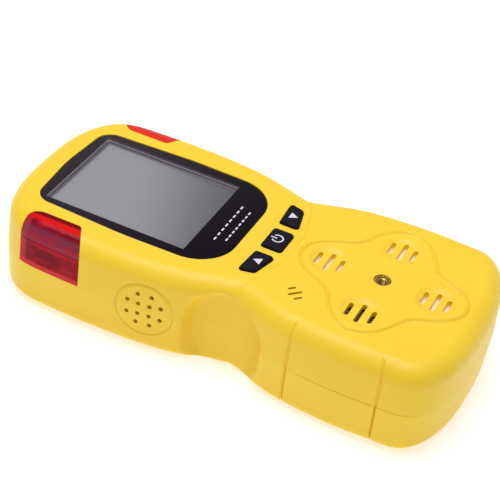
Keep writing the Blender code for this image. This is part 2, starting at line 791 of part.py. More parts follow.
def make_display():
    half_x, half_y = LCD_HALF
    low, high = DISPLAY_MIDDLE - half_y, DISPLAY_MIDDLE + half_y
    simple_prism("display_lens", lens_outline(), *LENS_SPAN, "black_lens")
    tape = simple_prism("lens_tape", grown(lens_outline(), -0.8), *TAPE_SPAN, "black_plastic")
    half = [(half_x - 0.5, low + 0.4, 1.5), (half_x - 0.5, high - 0.4, 1.5)]
    bm = bmesh.new()
    add_prism(bm, rounded(mirrored(half)), 29.0, 31.0)
    change(tape, store("tape_window", bm))
    bottom, top = LCD_SPAN
    simple_box("lcd_panel", (-half_x, low, bottom), (half_x, high, top), "display_grey", bevel=0.2)
    bottom, top = FRAME_SPAN
    corners = (-half_x - 1.7, low - 2.2, bottom), (half_x + 1.7, high + 2.2, top)
    frame = simple_box("lcd_frame", *corners, "white_plastic", bevel=0.4)
    light_well = box_tool("light_well", (-half_x, low, 25.6), (half_x, high, 28.0))
    change(frame, light_well)


def make_key(name):
    outline = key_outline(name)
    bm = bmesh.new()
    add_prism(bm, outline, 28.2, KEY_TOP)
    cap = store("key_" + name, bm, "key_rubber")
    bm = bmesh.new()
    add_prism(bm, grown(outline, KEY_FLANGE_REACH), *KEY_FLANGE)
    change(cap, store("key_flange_" + name, bm), "UNION")
    x, y = key_middle(name)
    set_origin(cap, (x, y, KEY_TOP))


def make_switch(name):
    x, y = key_middle(name)
    half, (bottom, top) = SWITCH_HALF, SWITCH_SPAN
    low, high = (x - half, y - half, bottom), (x + half, y + half, top)
    body = simple_box("switch_" + name, low, high, "black_plastic")
    bm = bmesh.new()
    add_cylinder(bm, (x, y), SWITCH_BORE, bottom + 0.4, top + 0.7, sides=20)
    change(body, store("switch_bore_" + name, bm))
    bm = bmesh.new()
    add_cylinder(bm, (x, y), PLUNGER_RADIUS, *PLUNGER_SPAN, sides=20)
    plunger = store("switch_plunger_" + name, bm, "white_plastic")
    set_origin(plunger, (x, y, PLUNGER_SPAN[1]))


def make_keypad_web():
    """The thin silicone sheet round the keys that holds them against the cover."""
    corners = [(22.6, -12.6, 2), (22.6, -1.2, 2), (-22.6, -1.2, 2), (-22.6, -12.6, 2)]
    web = simple_prism("keypad_web", rounded(corners), *WEB_SPAN, "key_rubber")
    bm = bmesh.new()
    for name in KEYS:
        add_prism(bm, key_outline(name, WEB_CLEARANCE), 27.0, 29.0)
    change(web, store("web_windows", bm))


def make_boards():
    main = rounded([(23.4, -12.0, 1.5), (23.4, 70.0, 3), (-23.4, 70.0, 3), (-23.4, -12.0, 1.5)])
    simple_prism("main_board", main, *MAIN_BOARD, "board_green")
    half = [(19, -72.5, 2), (19, -61, 0), (28.5, -61, 2), (28.5, -26, 2), (19, -26, 0), (19, -3, 2)]
    sensor = rounded(half + [(-x, y, r) for x, y, r in reversed(half)])
    simple_prism("sensor_board", sensor, *SENSOR_BOARD, "board_green")
    bottom, top = SENSOR_BOARD[1] + GAP, MAIN_BOARD[0] - GAP
    simple_box("board_connector", (-8, -10, bottom), (8, -6, top), "black_plastic", bevel=0.4)
    charge = rounded([(12, 54, 1.5), (12, 72, 1.5), (-12, 72, 1.5), (-12, 54, 1.5)])
    simple_prism("charge_board", charge, *CHARGE_BOARD, "board_green")


# ---- sensors ---------------------------------------------------------------------------------
def make_sensor(name, x, y):
    bm = bmesh.new()
    bottom, top = SENSOR_SPAN
    add_cylinder(bm, (x, y), SENSOR_RADIUS - 0.7, bottom, bottom + SENSOR_FOOT, sides=24)
    body = store(name + "_sensor", bm, "white_plastic")
    bm = bmesh.new()
    add_cylinder(bm, (x, y), SENSOR_RADIUS, bottom + SENSOR_FOOT - 0.6, top, sides=24)
    change(body, store(name + "_can", bm), "UNION")


def make_gasket(name, x, y):
    inner, outer, bottom, top = GASKET
    bm = bmesh.new()
    add_cylinder(bm, (x, y), outer, bottom, top, sides=24)
    gasket = store(name + "_gasket", bm, "grey_rubber")
    bm = bmesh.new()
    add_cylinder(bm, (x, y), inner, bottom - 1, top + 1, sides=24)
    change(gasket, store(name + "_gasket_bore", bm))


def make_filter(name, x, y):
    bm = bmesh.new()
    radius, bottom, top = FILTER
    add_cylinder(bm, (x, y), radius, bottom, top, sides=24)
    store(name + "_filter", bm, "steel_mesh" if name == "combustible" else "filter_white")


def make_calibration_insert():
    """A threaded brass bush, turned from a profile that runs down its outside and up its bore."""
    r, bore, (bottom, top) = INSERT_RADIUS, INSERT_BORE, INSERT_SPAN
    profile = [
        (r, top), (r, 29.6), (r - 0.4, 29.3), (r - 0.4, 28.7), (r, 28.4), (r, bottom), (bore, bottom),
        (bore, top - 0.5), (bore + 0.45, top),
    ]
    bm = bmesh.new()
    ring_verts = [bm.verts.new((x, 0.0, z)) for x, z in profile]
    for a, b in zip(ring_verts, ring_verts[1:] + ring_verts[:1]):
        bm.edges.new((a, b))
    bmesh.ops.scale(bm, vec=(MM, MM, MM), verts=bm.verts)
    mesh = bpy.data.meshes.new("calibration_insert")
    bm.to_mesh(mesh)
    bm.free()
    mesh.materials.append(material("brass"))
    insert = bpy.data.objects.new("calibration_insert", mesh)
    PARTS.objects.link(insert)
    insert.location = (0.0, SENSOR_CENTRE * MM, 0.0)
    turned = insert.modifiers.new("turned", "SCREW")
    turned.steps = turned.render_steps = 18
    turned.use_merge_vertices = True
    turned.merge_threshold = 0.00001
    turned.use_normal_calculate = True
    turned.use_smooth_shade = False


def make_vent_membrane():
    bm = bmesh.new()
    add_cylinder(bm, VENT_MEMBRANE, VENT_RADIUS, 28.6, 29.1, sides=24)
    store("vent_membrane", bm, "filter_white")


# ---- alarms, battery and charging ------------------------------------------------------------
def grille_holes():
    bm = bmesh.new()
    for count, radius, first in SPEAKER_HOLES:
        for k in range(count):
            angle = math.radians(first + 360.0 * k / count)
            spot = (SPEAKER[0] + radius * math.cos(angle), SPEAKER[1] + radius * math.sin(angle))
            add_cylinder(bm, spot, 0.75, -45.0, -33.0, axis="X", sides=10)
    return store("grille_holes", bm)


def make_speaker_grille():
    """A disc that carries on the body's own side, with a flange that holds it behind the wall."""
    bm = bmesh.new()
    add_body(bm, 2.0, 30.0)
    grille = store("speaker_grille", bm, "yellow_shell")
    bm = bmesh.new()
    add_cylinder(bm, SPEAKER, SPEAKER_RADIUS, -45.0, GRILLE_BACK, axis="X", sides=32)
    change(grille, store("grille_disc", bm), "INTERSECT")
    bm = bmesh.new()
    add_cylinder(bm, SPEAKER, GRILLE_HOLLOW, -34.2, -30.0, axis="X", sides=32)
    hollow = store("grille_hollow", bm)
    change(grille, hollow)
    bm = bmesh.new()
    add_cylinder(bm, SPEAKER, SPEAKER_FLANGE, GRILLE_BACK - 0.9, GRILLE_BACK, axis="X", sides=32)
    flange = store("grille_flange", bm)
    change(flange, hollow)
    change(grille, flange, "UNION")
    change(grille, grille_holes())


def make_buzzer():
    inner, outer, face = BUZZER_GASKET
    bm = bmesh.new()
    add_cylinder(bm, SPEAKER, outer, face, GRILLE_BACK, axis="X", sides=32)
    gasket = store("buzzer_gasket", bm, "grey_rubber")
    bm = bmesh.new()
    add_cylinder(bm, SPEAKER, inner, face - 1, GRILLE_BACK + 1, axis="X", sides=32)
    change(gasket, store("buzzer_gasket_bore", bm))
    radius, outer_face, inner_face = BUZZER
    bm = bmesh.new()
    add_cylinder(bm, SPEAKER, radius, outer_face, inner_face, axis="X", sides=32)
    store("buzzer", bm, "black_plastic")


def make_alarm_lens(side, name):
    bm = bmesh.new()
    add_body(bm, SEAM, THICKNESS)
    lens = store("alarm_lens_" + name, bm, "alarm_red")
    bm = bmesh.new()
    add_prism(bm, alarm_outline(side), SEAM - 1, THICKNESS + 1)
    change(lens, store("alarm_cut_" + name, bm), "INTERSECT")
    change(lens, body_tool("alarm_hollow_" + name, SEAM - 2, HEAD_TOP - ALARM_WALL, ALARM_WALL))
    change(lens, bpy.data.objects["head_step"])


def make_alarm_led(side, name):
    x, y = side * LED_MIDDLE, sum(ALARM_SPAN) / 2
    half, (bottom, top) = LED_HALF, LED_SPAN
    low, high = (x - half, y - half, bottom), (x + half, y + half, top)
    simple_box("alarm_led_" + name, low, high, "white_plastic", bevel=0.3)


def make_vibration_alarm():
    """A small motor and the eccentric weight on its shaft, both along X."""
    y, z = VIBRATOR
    bm = bmesh.new()
    add_cylinder(bm, VIBRATOR, VIBRATOR_RADIUS, 4.0, 15.0, axis="X", sides=24)
    store("vibration_motor", bm, "steel")
    bm = bmesh.new()
    add_cylinder(bm, VIBRATOR, WEIGHT_RADIUS, 16.4, 20.0, axis="X", sides=24)
    weight = store("vibration_weight", bm, "brass")
    half = box_tool("weight_half", (16.0, y - 4, z + 0.2), (20.5, y + 4, z + 4))
    change(weight, half)
    bm = bmesh.new()
    add_cylinder(bm, VIBRATOR, SHAFT_RADIUS, 15.3, 20.4, axis="X", sides=16)
    change(weight, store("weight_hub", bm), "UNION")
    set_origin(weight, (18.0, y, z))


def make_battery():
    middle = sum(DOOR) / 2
    half_x, half_y = BATTERY[0] / 2, BATTERY[1] / 2
    low = (-half_x - BATTERY_SHIFT, middle - half_y, BATTERY_BOTTOM)
    high = (half_x - BATTERY_SHIFT, middle + half_y, BATTERY_BOTTOM + BATTERY[2])
    pack = simple_box("battery_pack", low, high, "battery_wrap", bevel=0.8)
    pack.modifiers["edges"].segments = 3
    low = (half_x - 1.2, middle - 5, BATTERY_BOTTOM + 0.4)
    high = (half_x + 1.8, middle + 5, BATTERY_BOTTOM + BATTERY[2])
    simple_box("battery_contacts", low, high, "black_plastic", bevel=0.3)


def make_charge_port():
    low, high = PORT_MIDDLE - 1.8, PORT_MIDDLE + 1.8
    socket = simple_box("charge_socket", (-4.5, 66.0, low - 0.6), (4.5, 75.8, high), "steel", bevel=0.5)
    mouth = box_tool("socket_mouth", (-3.6, 69.0, low + 0.3), (3.6, 77.0, high - 0.9))
    change(socket, mouth)
    hinge_y, hinge_z = PORT_HINGE
    half, top, corner = FLAP_HALF, FLAP_TOP, FLAP_CORNER
    flap = [(half, hinge_z, 0.0), (half, top, corner), (-half, top, corner), (-half, hinge_z, 0.0)]
    bm = bmesh.new()
    add_prism(bm, rounded(flap), -FLAP_FACES[1], -FLAP_FACES[0])
    bmesh.ops.rotate(bm, verts=bm.verts, cent=(0, 0, 0), matrix=Matrix.Rotation(math.pi / 2, 3, "X"))
    cover = store("charge_port_cover", bm, "grey_rubber")
    bm = bmesh.new()
    add_cylinder(bm, PORT_HINGE, BARREL_RADIUS, -half, half, axis="X", sides=12)
    change(cover, store("flap_barrel", bm), "UNION")
    bm = bmesh.new()
    add_box(bm, (-4.4, 76.6, low + 0.3), (4.4, 78.2, high - 0.3))
    change(cover, store("flap_plug", bm), "UNION")
    set_origin(cover, (0.0, hinge_y, hinge_z))


# ---- fasteners and label ---------------------------------------------------------------------
def make_screw(name, place, head, thick, tip):
    """A hex-socket screw driven from the back; head and tip are heights above the back face."""
    bm = bmesh.new()
    add_cylinder(bm, place, SCREW_HEAD, head, head + thick, sides=16)
    screw = store(name, bm, "steel")
    bm = bmesh.new()
    add_cylinder(bm, place, SCREW_SHANK, head + thick / 2, tip, sides=10)
    change(screw, store(name + "_shank", bm), "UNION")
    bm = bmesh.new()
    add_cylinder(bm, place, SCREW_SOCKET, head - 1.0, head + thick * 0.6, sides=6)
    change(screw, store(name + "_socket", bm))


def make_fasteners():
    for number, place in enumerate(screw_places(), start=1):
        make_screw(f"case_screw_{number}", place, 0.9, 1.6, SEAM + 8)
    for number, side in enumerate((1, -1), start=1):
        make_screw(f"door_screw_{number}", (side * DOOR_SCREW_X, SENSOR_CENTRE), 0.1, 0.9, 7.8)


def main():
    clear_scene()
    make_front_cover()
    make_rear_cover()
    make_battery_door()
    make_case_seal()
    make_display()
    for name in KEYS:
        make_key(name)
        make_switch(name)
    make_keypad_web()
    make_boards()
    for name, x, y in sensor_places():
        make_sensor(name, x, y)
        make_gasket(name, x, y)
        make_filter(name, x, y)
    make_calibration_insert()
    make_vent_membrane()
    make_speaker_grille()
    make_buzzer()
    for side, name in ((1, "right"), (-1, "left")):
        make_alarm_lens(side, name)
        make_alarm_led(side, name)
    make_vibration_alarm()
    make_battery()
    make_charge_port()
    make_fasteners()
    simple_prism("rear_label", label_outline(), *LABEL_SPAN, "label_silver")


main()
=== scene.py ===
"""The looks of the portable gas detector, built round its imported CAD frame.

The covers, battery door, grille, lenses, keys and threaded insert are modelled again here at a
finer resolution. Every other piece is the CAD node itself.
"""

import json
import math

import bpy
import numpy as np
from mathutils import Matrix, Vector


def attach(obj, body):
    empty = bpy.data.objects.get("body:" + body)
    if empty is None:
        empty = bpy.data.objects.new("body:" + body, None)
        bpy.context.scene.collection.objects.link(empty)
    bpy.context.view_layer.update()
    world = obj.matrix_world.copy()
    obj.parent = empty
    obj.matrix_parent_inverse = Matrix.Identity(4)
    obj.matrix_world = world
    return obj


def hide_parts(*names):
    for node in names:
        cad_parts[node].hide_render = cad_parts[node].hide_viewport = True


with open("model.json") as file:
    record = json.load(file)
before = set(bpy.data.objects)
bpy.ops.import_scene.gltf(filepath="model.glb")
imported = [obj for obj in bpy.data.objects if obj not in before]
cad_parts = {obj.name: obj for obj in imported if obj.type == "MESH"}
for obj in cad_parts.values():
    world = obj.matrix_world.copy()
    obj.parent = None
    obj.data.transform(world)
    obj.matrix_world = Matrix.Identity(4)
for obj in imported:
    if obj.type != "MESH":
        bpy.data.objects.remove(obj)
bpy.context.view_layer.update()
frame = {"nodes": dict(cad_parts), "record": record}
MM = 0.001

# ---- the body, in millimetres: X across it, Y towards the display end, Z up from its back -----
THICKNESS = 32.0
HEAD_DROP = 0.4               # how far the display head's face lies below the sensors' face
SEAM, REAR_TOP = 16.0, 15.97  # where the front cover starts, and where the rear one ends
WALL = 2.2
CEILING = 29.4                # underside of the front cover's face
ABOVE, BELOW, BESIDE = 35, -1, 50  # what is cut away from the body starts clear of it
SENSOR_END, SENSOR_END_LENGTH, SENSOR_END_POWER = -78.7, 16.5, 2.5
DISPLAY_END, DISPLAY_END_LENGTH, DISPLAY_END_POWER = 78.7, 22.0, 2.7
TOP_RADIUS, BACK_RADIUS = 6.0, 4.0
LOWER_DRAFT, UPPER_DRAFT = 0.8, 0.6
WIDTHS = np.array((           # places along the body, and its half width at each
    (-79, 36.2), (-62, 36.9), (-47, 37.4), (-36, 36.9), (-28, 36.0), (-21, 34.5), (-16, 32.7),
    (-11.5, 31.1), (-9.4, 30.2), (-7.6, 29.6), (-5.8, 30.1), (-3, 30.9), (2, 32.5), (11, 35.0),
    (23, 36.6), (37, 37.2), (50, 37.1), (63, 36.4), (79, 35.0),
))
STEP_AT, STEP_BOW, STEP_RUN = -13.9, 0.0093, 0.5  # the bowed step down to the display head
STEP_LINE = (0.16, 0.35, 0.3)  # the fine groove along it: its depth, place past the step and reach
EASED, EASED_BY_DOOR = 0.012, 0.12  # how far the edges along the seam are eased
EASED_SPAN, EASED_FADE = (-72, -30), 4

POCKET_FLOOR = 28.8           # half width left between the two grip pockets
POCKET_MIDDLE, POCKET_REACH = (-5.0, 15.5), 11.6
POCKET_DROP = 14.6            # how far the arch reaches below its middle
POCKET_RAMP = 9.2             # its flat floor ends sooner towards the display, in a long ramp
POCKET_TURN = 4               # how far each way from its middle one side turns into the other
POCKET_STEEP, POCKET_GENTLE = (1.2, 1.6), (0.36, 2)  # factor and power of each side's rise
POCKET_BLEND = 2.6
POCKET_BACKING, POCKET_MARGIN = 0.6, 1  # the inner wall spreads again beyond a pocket

DOOR, DOOR_GAPS = (-58.4, -28.7), (0.18, 0.1)  # the battery door's ends
DOOR_SCREW_X = 31.0
GROOVE_REACH, GROOVE_DEPTH = 0.8, 0.62
GROOVE_SPAN, GROOVE_FADE = (0.5, THICKNESS - 0.25), 1.2
SLANT = 27.6                  # degrees between the alarm lenses' lower edge and the body's width
SLANT_FROM, SLANT_ABOVE, SLANT_RISE = 36.6, 25, 3  # where the sensor end's groove slants as well
SIDE = 20                     # nearer the middle than this there is only face and back

SENSOR_CENTRE, SENSOR_OFFSET = -43.2, 17.8
LOBES = ((1, 0), (0, 1), (-1, 0), (0, -1))
DISH_FLOOR, DISH_RIM, DISH_DEPTH = 4.5, 7.0, 0.75
BEAD_TIP, BEAD_WAIST, BEAD_HEIGHT, BEAD_REACH = 27.4, 19.2, 0.68, 0.9
SLOT_PITCH, SLOT_WIDTH, SLOT_LENGTHS = 3.8, 1.5, (6.2, 9.2, 6.2)
VENTS = ((-19.3, -21.2, 2.8), (-21.0, -23.0, 4.8), (-22.7, -24.7, 2.9))  # x, y and length
VENT_WIDTH, VENT_TURN = 0.9, -43.0
SPINE = 46.0                  # the face closes in on a line this long each way along the middle
INSERT_BOSS, INSERT_SEAT = 4.4, 2.8

SPEAKER, SPEAKER_RADIUS, SPEAKER_GAP = (19.5, 16.2), 9.5, 0.08
SPEAKER_HOLES, HOLE_RADIUS = ((4, 2.65, 45.0), (8, 5.95, 22.5)), 0.78  # count, distance, first angle
FLANGE_RADIUS, FLANGE_SPAN, FLANGE_SEAT = 10.8, (-32.3, -31.4), 11.1
RING_RADIUS, RING_DEPTH = 0.8, 0.3  # the soft ring round the grille
OUTSIDE = -45                 # clear of the side that holds the grille

ALARM_EDGE, ALARM_SIDE, ALARM_OUT = 28.2, 37.0, 46.0  # its inner edge, the body's side, and past it
ALARM_SPAN, ALARM_CORNERS = (42.4, 64.3), (1.5, 4.5)
ALARM_WALL, ALARM_GAP = 2.0, 0.1
DISPLAY_MIDDLE = 40.1
WINDOW = (20.15, 24.7)        # half sizes of the clear part of the lens
TAPE_WINDOW = (20.4, 25.0)    # and of the opening in the tape under it
LENS_CORNERS = ((23.6, 2.3, 13.5), (24.3, 34.8, 90.0), (22.6, 67.4, 6.0), (0.0, 69.0, 60.0))
LENS_LEVEL, LENS_SEAT, LENS_GAP = 31.45, 29.8, 0.12
KEY_TOP, KEY_CORNER, KEY_GAP = 32.6, 1.1, 0.18
KEYS = {
    "power": [(5.3, -11.0), (5.3, -3.9), (-5.3, -3.9), (-5.3, -11.0)],
    "right": [(8.8, -10.7), (18.7, -8.3), (20.1, -3.1), (8.8, -3.9)],
    "left": [(-8.8, -10.7), (-8.8, -3.9), (-20.1, -3.1), (-18.7, -8.3)],
}
SCREWS = [(s * x, y) for x, y in ((26.5, 66.0), (23.0, -16.0), (24.0, -67.5)) for s in (1, -1)]
BOSS_RADIUS, POST_RADIUS, SCREW_BORE, SCREW_HEAD = 2.6, 3.0, 1.45, 2.5
SEAL_DEPTH, SEAL_WALL = 1.5, 1.25  # the seal's seat in the rear cover's and the door's upper edge
DOOR_BACKING = 4.1            # how far in the wall behind the door lies

# Where points stand closer together along the outline, and over what reach: both ends of the door
# and of the pockets, and the corner of the waist.
CROWDED = ((DOOR[1], 1.3), (DOOR[0] + 1, 2.2), (-17.3, 1.6), (-7.6, 1.5), (7.4, 1.6))
CROWDING = 7


# ---- plan outline and surface ----------------------------------------------------------------
def half_width(y):
    """The body's half width there, on a smooth curve through WIDTHS."""
    at, w = WIDTHS[:, 0], WIDTHS[:, 1]
    slopes = np.empty(len(at))
    slopes[1:-1] = (w[2:] - w[:-2]) / (at[2:] - at[:-2])
    slopes[0] = (w[1] - w[0]) / (at[1] - at[0])
    slopes[-1] = (w[-1] - w[-2]) / (at[-1] - at[-2])
    i = np.clip(np.searchsorted(at, y) - 1, 0, len(at) - 2)
    span = at[i + 1] - at[i]
    t = (y - at[i]) / span
    return (
        w[i] * (1 + 2 * t) * (1 - t) ** 2 + w[i + 1] * t * t * (3 - 2 * t)
        + span * slopes[i] * t * (1 - t) ** 2 - span * slopes[i + 1] * t * t * (1 - t)
    )


def plan(count):
    """Points along the widest outline, anticlockwise from the sensor end, and their normals."""
    phi = np.linspace(0, math.pi / 2, 600)
    y1 = SENSOR_END + SENSOR_END_LENGTH * (1 - np.cos(phi) ** (2 / SENSOR_END_POWER))
    x1 = half_width(y1) * np.sin(phi) ** (2 / SENSOR_END_POWER)
    y3 = (DISPLAY_END - DISPLAY_END_LENGTH * (1 - np.cos(phi) ** (2 / DISPLAY_END_POWER)))[::-1]
    x3 = half_width(y3) * np.sin(phi[::-1]) ** (2 / DISPLAY_END_POWER)
    y2 = np.linspace(y1[-1], y3[0], 1200)[1:-1]
    x, y = np.concatenate((x1, half_width(y2), x3)), np.concatenate((y1, y2, y3))
    run = np.concatenate(([0], np.cumsum(np.hypot(np.diff(x), np.diff(y)))))
    weight = 1 + sum(CROWDING * np.exp(-((y - at) / reach) ** 2) for at, reach in CROWDED)
    share = np.concatenate(([0], np.cumsum((weight[1:] + weight[:-1]) / 2 * np.diff(run))))
    even = np.interp(np.linspace(0, share[-1], count // 2 + 1), share, run)
    x, y = np.interp(even, run, x), np.interp(even, run, y)
    points = np.column_stack((np.concatenate((x, -x[-2:0:-1])), np.concatenate((y, y[-2:0:-1]))))
    along = np.roll(points, -1, 0) - np.roll(points, 1, 0)
    along /= np.linalg.norm(along, axis=1)[:, None]
    return points, np.column_stack((along[:, 1], -along[:, 0]))


def smooth(t):
    """An eased step from 0 to 1 as t goes from 0 to 1."""
    t = np.clip(t, 0, 1)
    return t * t * (3 - 2 * t)


def level_inset(z, wall):
    """How far inside the widest outline a wall's surface lies at a level: draft and rounded edges."""
    draft = LOWER_DRAFT * (1 - z / SEAM) if z < SEAM else UPPER_DRAFT * (z - SEAM) / (THICKNESS - SEAM)
    inset = wall + draft
    for radius, depth in ((BACK_RADIUS, BACK_RADIUS - z), (TOP_RADIUS, z - THICKNESS + TOP_RADIUS)):
        radius = max(radius - wall, 0.3)
        if depth > 0:
            inset += radius - math.sqrt(max(radius * radius - min(depth, radius) ** 2, 0.0))
    return inset


def groove_depth(x, y, z):
    """The soft valleys down each side, over the battery door's edges."""
    slope = math.tan(math.radians(SLANT))
    lean = np.maximum(0, SLANT_FROM - abs(x)) * slope * smooth((z - SLANT_ABOVE) / SLANT_RISE)
    near = np.minimum(abs(y - DOOR[1]), abs(y - DOOR[0] - lean))
    fade = smooth((GROOVE_SPAN[1] - z) / GROOVE_FADE)
    valley = np.cos(math.pi / 2 * np.clip(near / GROOVE_REACH, 0, 1)) ** 2
    return GROOVE_DEPTH * valley * fade * (abs(x) > SIDE)


def seam_relief(y):
    """How far the edges are eased along the seam: most of all beside the battery door."""
    near_door = smooth((y - EASED_SPAN[0]) / EASED_FADE) * smooth((EASED_SPAN[1] - y) / EASED_FADE)
    return EASED + EASED_BY_DOOR * near_door


def pocket_limit(y, z):
    """The half width left by the grip pockets: a flat floor under an arch, with rounded sides."""
    v, up = y - POCKET_MIDDLE[0], (z - POCKET_MIDDLE[1]) / POCKET_REACH
    along = abs(v) / np.where(v > 0, POCKET_RAMP, POCKET_REACH)
    if up >= 0:
        out = np.hypot(along, up)
    else:
        down = up * POCKET_REACH / POCKET_DROP
        out = (along ** 4 + down ** 4) ** 0.25
    past = POCKET_REACH * np.maximum(0, out - 1)
    steep, gentle = (factor * past ** power for factor, power in (POCKET_STEEP, POCKET_GENTLE))
    share = smooth((v + POCKET_TURN) / (2 * POCKET_TURN))
    return POCKET_FLOOR + (1 - share) * steep + share * gentle


def ring(base, z, wall=0.0, eased=False):
    """The body's outline at a level: its outer surface, or the surface that is a wall further in."""
    points, normals = base
    inset = level_inset(z, wall)
    if eased:
        inset = inset + seam_relief(points[:, 1])
    if wall == 0 and z > GROOVE_SPAN[0]:
        flat = points - normals * np.reshape(inset, (-1, 1))
        inset = inset + groove_depth(flat[:, 0], flat[:, 1], z)
    moved = points - normals * np.reshape(inset, (-1, 1))
    x, y = moved[:, 0], moved[:, 1]
    if wall > 0:
        past = np.maximum(0, abs(y - POCKET_MIDDLE[0]) - POCKET_REACH - POCKET_MARGIN)
        limit = POCKET_FLOOR + POCKET_BACKING * past ** 2 - wall
        x = np.copysign(np.minimum(abs(x), limit), x)
    else:
        limit = pocket_limit(y, z)
        share = np.maximum(0, POCKET_BLEND - abs(abs(x) - limit)) / POCKET_BLEND
        x = np.copysign(np.minimum(abs(x), limit) - share ** 2 * POCKET_BLEND / 4, x)
    return np.column_stack((x, y, np.full(len(x), z)))


def head_drop(x, y, z):
    """How much lower the display head is at this point, fading out down the rounded edge."""
    past = y - STEP_AT - STEP_BOW * x * x
    depth, place, reach = STEP_LINE
    step = HEAD_DROP * smooth((past + STEP_RUN / 2) / STEP_RUN)
    step = step + depth * np.exp(-((past - place) / reach) ** 2)
    return step * smooth((z - (THICKNESS - TOP_RADIUS)) / TOP_RADIUS)


def face_height(x, y):
    """The top face: the head's lower level, the raised line round the sensors, and four dishes."""
    z = THICKNESS - head_drop(x, y, THICKNESS)
    v = y - SENSOR_CENTRE
    r, angle = np.hypot(x, v), np.arctan2(v, x)
    mean, swing = (BEAD_TIP + BEAD_WAIST) / 2, (BEAD_TIP - BEAD_WAIST) / 2
    line = mean + swing * np.cos(4 * angle)
    slant = np.sqrt(1 + (4 * swing * np.sin(4 * angle) / line) ** 2)
    d = np.clip((r - line) / slant / BEAD_REACH, -1, 1)
    z = z + BEAD_HEIGHT * (0.5 + 0.5 * np.cos(math.pi * d))
    for cx, cy in LOBES:
        away = np.hypot(x - SENSOR_OFFSET * cx, v - SENSOR_OFFSET * cy)
        z = z - DISH_DEPTH * smooth((DISH_RIM - away) / (DISH_RIM - DISH_FLOOR))
    return z


# ---- meshes ----------------------------------------------------------------------------------
def mesh_object(name, points, faces):
    mesh = bpy.data.meshes.new(name)
    mesh.from_pydata((np.asarray(points) * MM).tolist(), [], faces)
    mesh.update()
    made = bpy.data.objects.new(name, mesh)
    bpy.context.scene.collection.objects.link(made)
    return made


def loft(name, rings, strip_top=False):
    """Closed rings skinned into a body. strip_top closes the last ring side to side."""
    n = len(rings[0])
    points = np.concatenate(rings)
    i = np.arange(n)
    j = (i + 1) % n
    row = np.column_stack((i, j, j + n, i + n))
    faces = np.concatenate([row + k * n for k in range(len(rings) - 1)]).tolist()
    faces.append(list(range(n - 1, -1, -1)))
    top, half = (len(rings) - 1) * n, n // 2
    if strip_top:
        faces.append([top, top + 1, top + n - 1])
        faces += [[top + k, top + k + 1, top + n - k - 1, top + n - k] for k in range(1, half - 1)]
        faces.append([top + half - 1, top + half, top + half + 1])
    else:
        faces.append(list(range(top, top + n)))
    return mesh_object(name, points, faces)


def prism(name, outlines, low, high):
    """One or more flat outlines, all given thickness between the same two levels."""
    points, faces = [], []
    for outline in outlines:
        first, n = len(points), len(outline)
        turned = sum(a[0] * b[1] - b[0] * a[1] for a, b in zip(outline, outline[1:] + outline[:1])) > 0
        outline = outline if turned else outline[::-1]
        points += [(x, y, low) for x, y in outline] + [(x, y, high) for x, y in outline]
        for k in range(n):
            a, b = first + k, first + (k + 1) % n
            faces.append([a, b, b + n, a + n])
        faces += [list(range(first + n - 1, first - 1, -1)), list(range(first + n, first + 2 * n))]
    return mesh_object(name, points, faces)


def circle(x, y, radius, sides=48):
    turn = 2 * math.pi / sides
    return [(x + radius * math.cos(turn * k), y + radius * math.sin(turn * k)) for k in range(sides)]


def upright(made, axis):
    """Turns a prism built along Z to lie along X or Y. Its outline's (a, b) become the other two axes."""
    turn = {
        "X": Matrix(((0, 0, 1, 0), (1, 0, 0, 0), (0, 1, 0, 0), (0, 0, 0, 1))),
        "Y": Matrix(((1, 0, 0, 0), (0, 0, 1, 0), (0, 1, 0, 0), (0, 0, 0, 1))),
    }[axis]
    made.data.transform(turn)
    if turn.to_3x3().determinant() < 0:
        made.data.flip_normals()
    return made


def rounded(corners, steps=10):
    """The corners (x, y, radius) of a closed outline, each replaced by a tangent arc."""
    outline = []
    for i, (x, y, radius) in enumerate(corners):
        here = Vector((x, y))
        before = (Vector(corners[i - 1][:2]) - here).normalized()
        after = (Vector(corners[(i + 1) % len(corners)][:2]) - here).normalized()
        half = before.angle(after) / 2
        if radius <= 0 or half > math.radians(89.5):
            outline.append((x, y))
            continue
        centre = here + (before + after).normalized() * (radius / math.sin(half))
        first = here + before * (radius / math.tan(half)) - centre
        turn = 1 if before.x * after.y - before.y * after.x < 0 else -1
        for k in range(steps + 1):
            spoke = first.copy()
            spoke.rotate(Matrix.Rotation(turn * (math.pi - 2 * half) * k / steps, 2))
            outline.append(tuple(centre + spoke))
    return outline


def plate(half, low, high, low_radius, high_radius):
    """A rounded rectangle, centred across the body."""
    return rounded([
        (half, low, low_radius), (half, high, high_radius),
        (-half, high, high_radius), (-half, low, low_radius),
    ])


def grown(outline, distance):
    """The outline moved outwards along its normals."""
    count = len(outline)
    area = sum(outline[i - 1][0] * outline[i][1] - outline[i][0] * outline[i - 1][1] for i in range(count))
    side = distance if area > 0 else -distance
    moved = []
    for i, (x, y) in enumerate(outline):
        (ax, ay), (bx, by) = outline[i - 1], outline[(i + 1) % count]
        length = math.hypot(bx - ax, by - ay)
        moved.append((x + side * (by - ay) / length, y - side * (bx - ax) / length))
    return moved


def stadium(x, y, length, width, turn=0.0, steps=10):
    """A slot with round ends, turned by so many degrees."""
    reach, outline = (length - width) / 2, []
    for side in (1, -1):
        for k in range(steps + 1):
            a = math.pi * (k / steps - 0.5)
            outline.append((side * (reach + width / 2 * math.cos(a)), side * width / 2 * math.sin(a)))
    c, s = math.cos(math.radians(turn)), math.sin(math.radians(turn))
    return [(x + c * u - s * v, y + s * u + c * v) for u, v in outline]


def box(name, low, high):
    (x0, y0, z0), (x1, y1, z1) = low, high
    return prism(name, [[(x0, y0), (x1, y0), (x1, y1), (x0, y1)]], z0, z1)


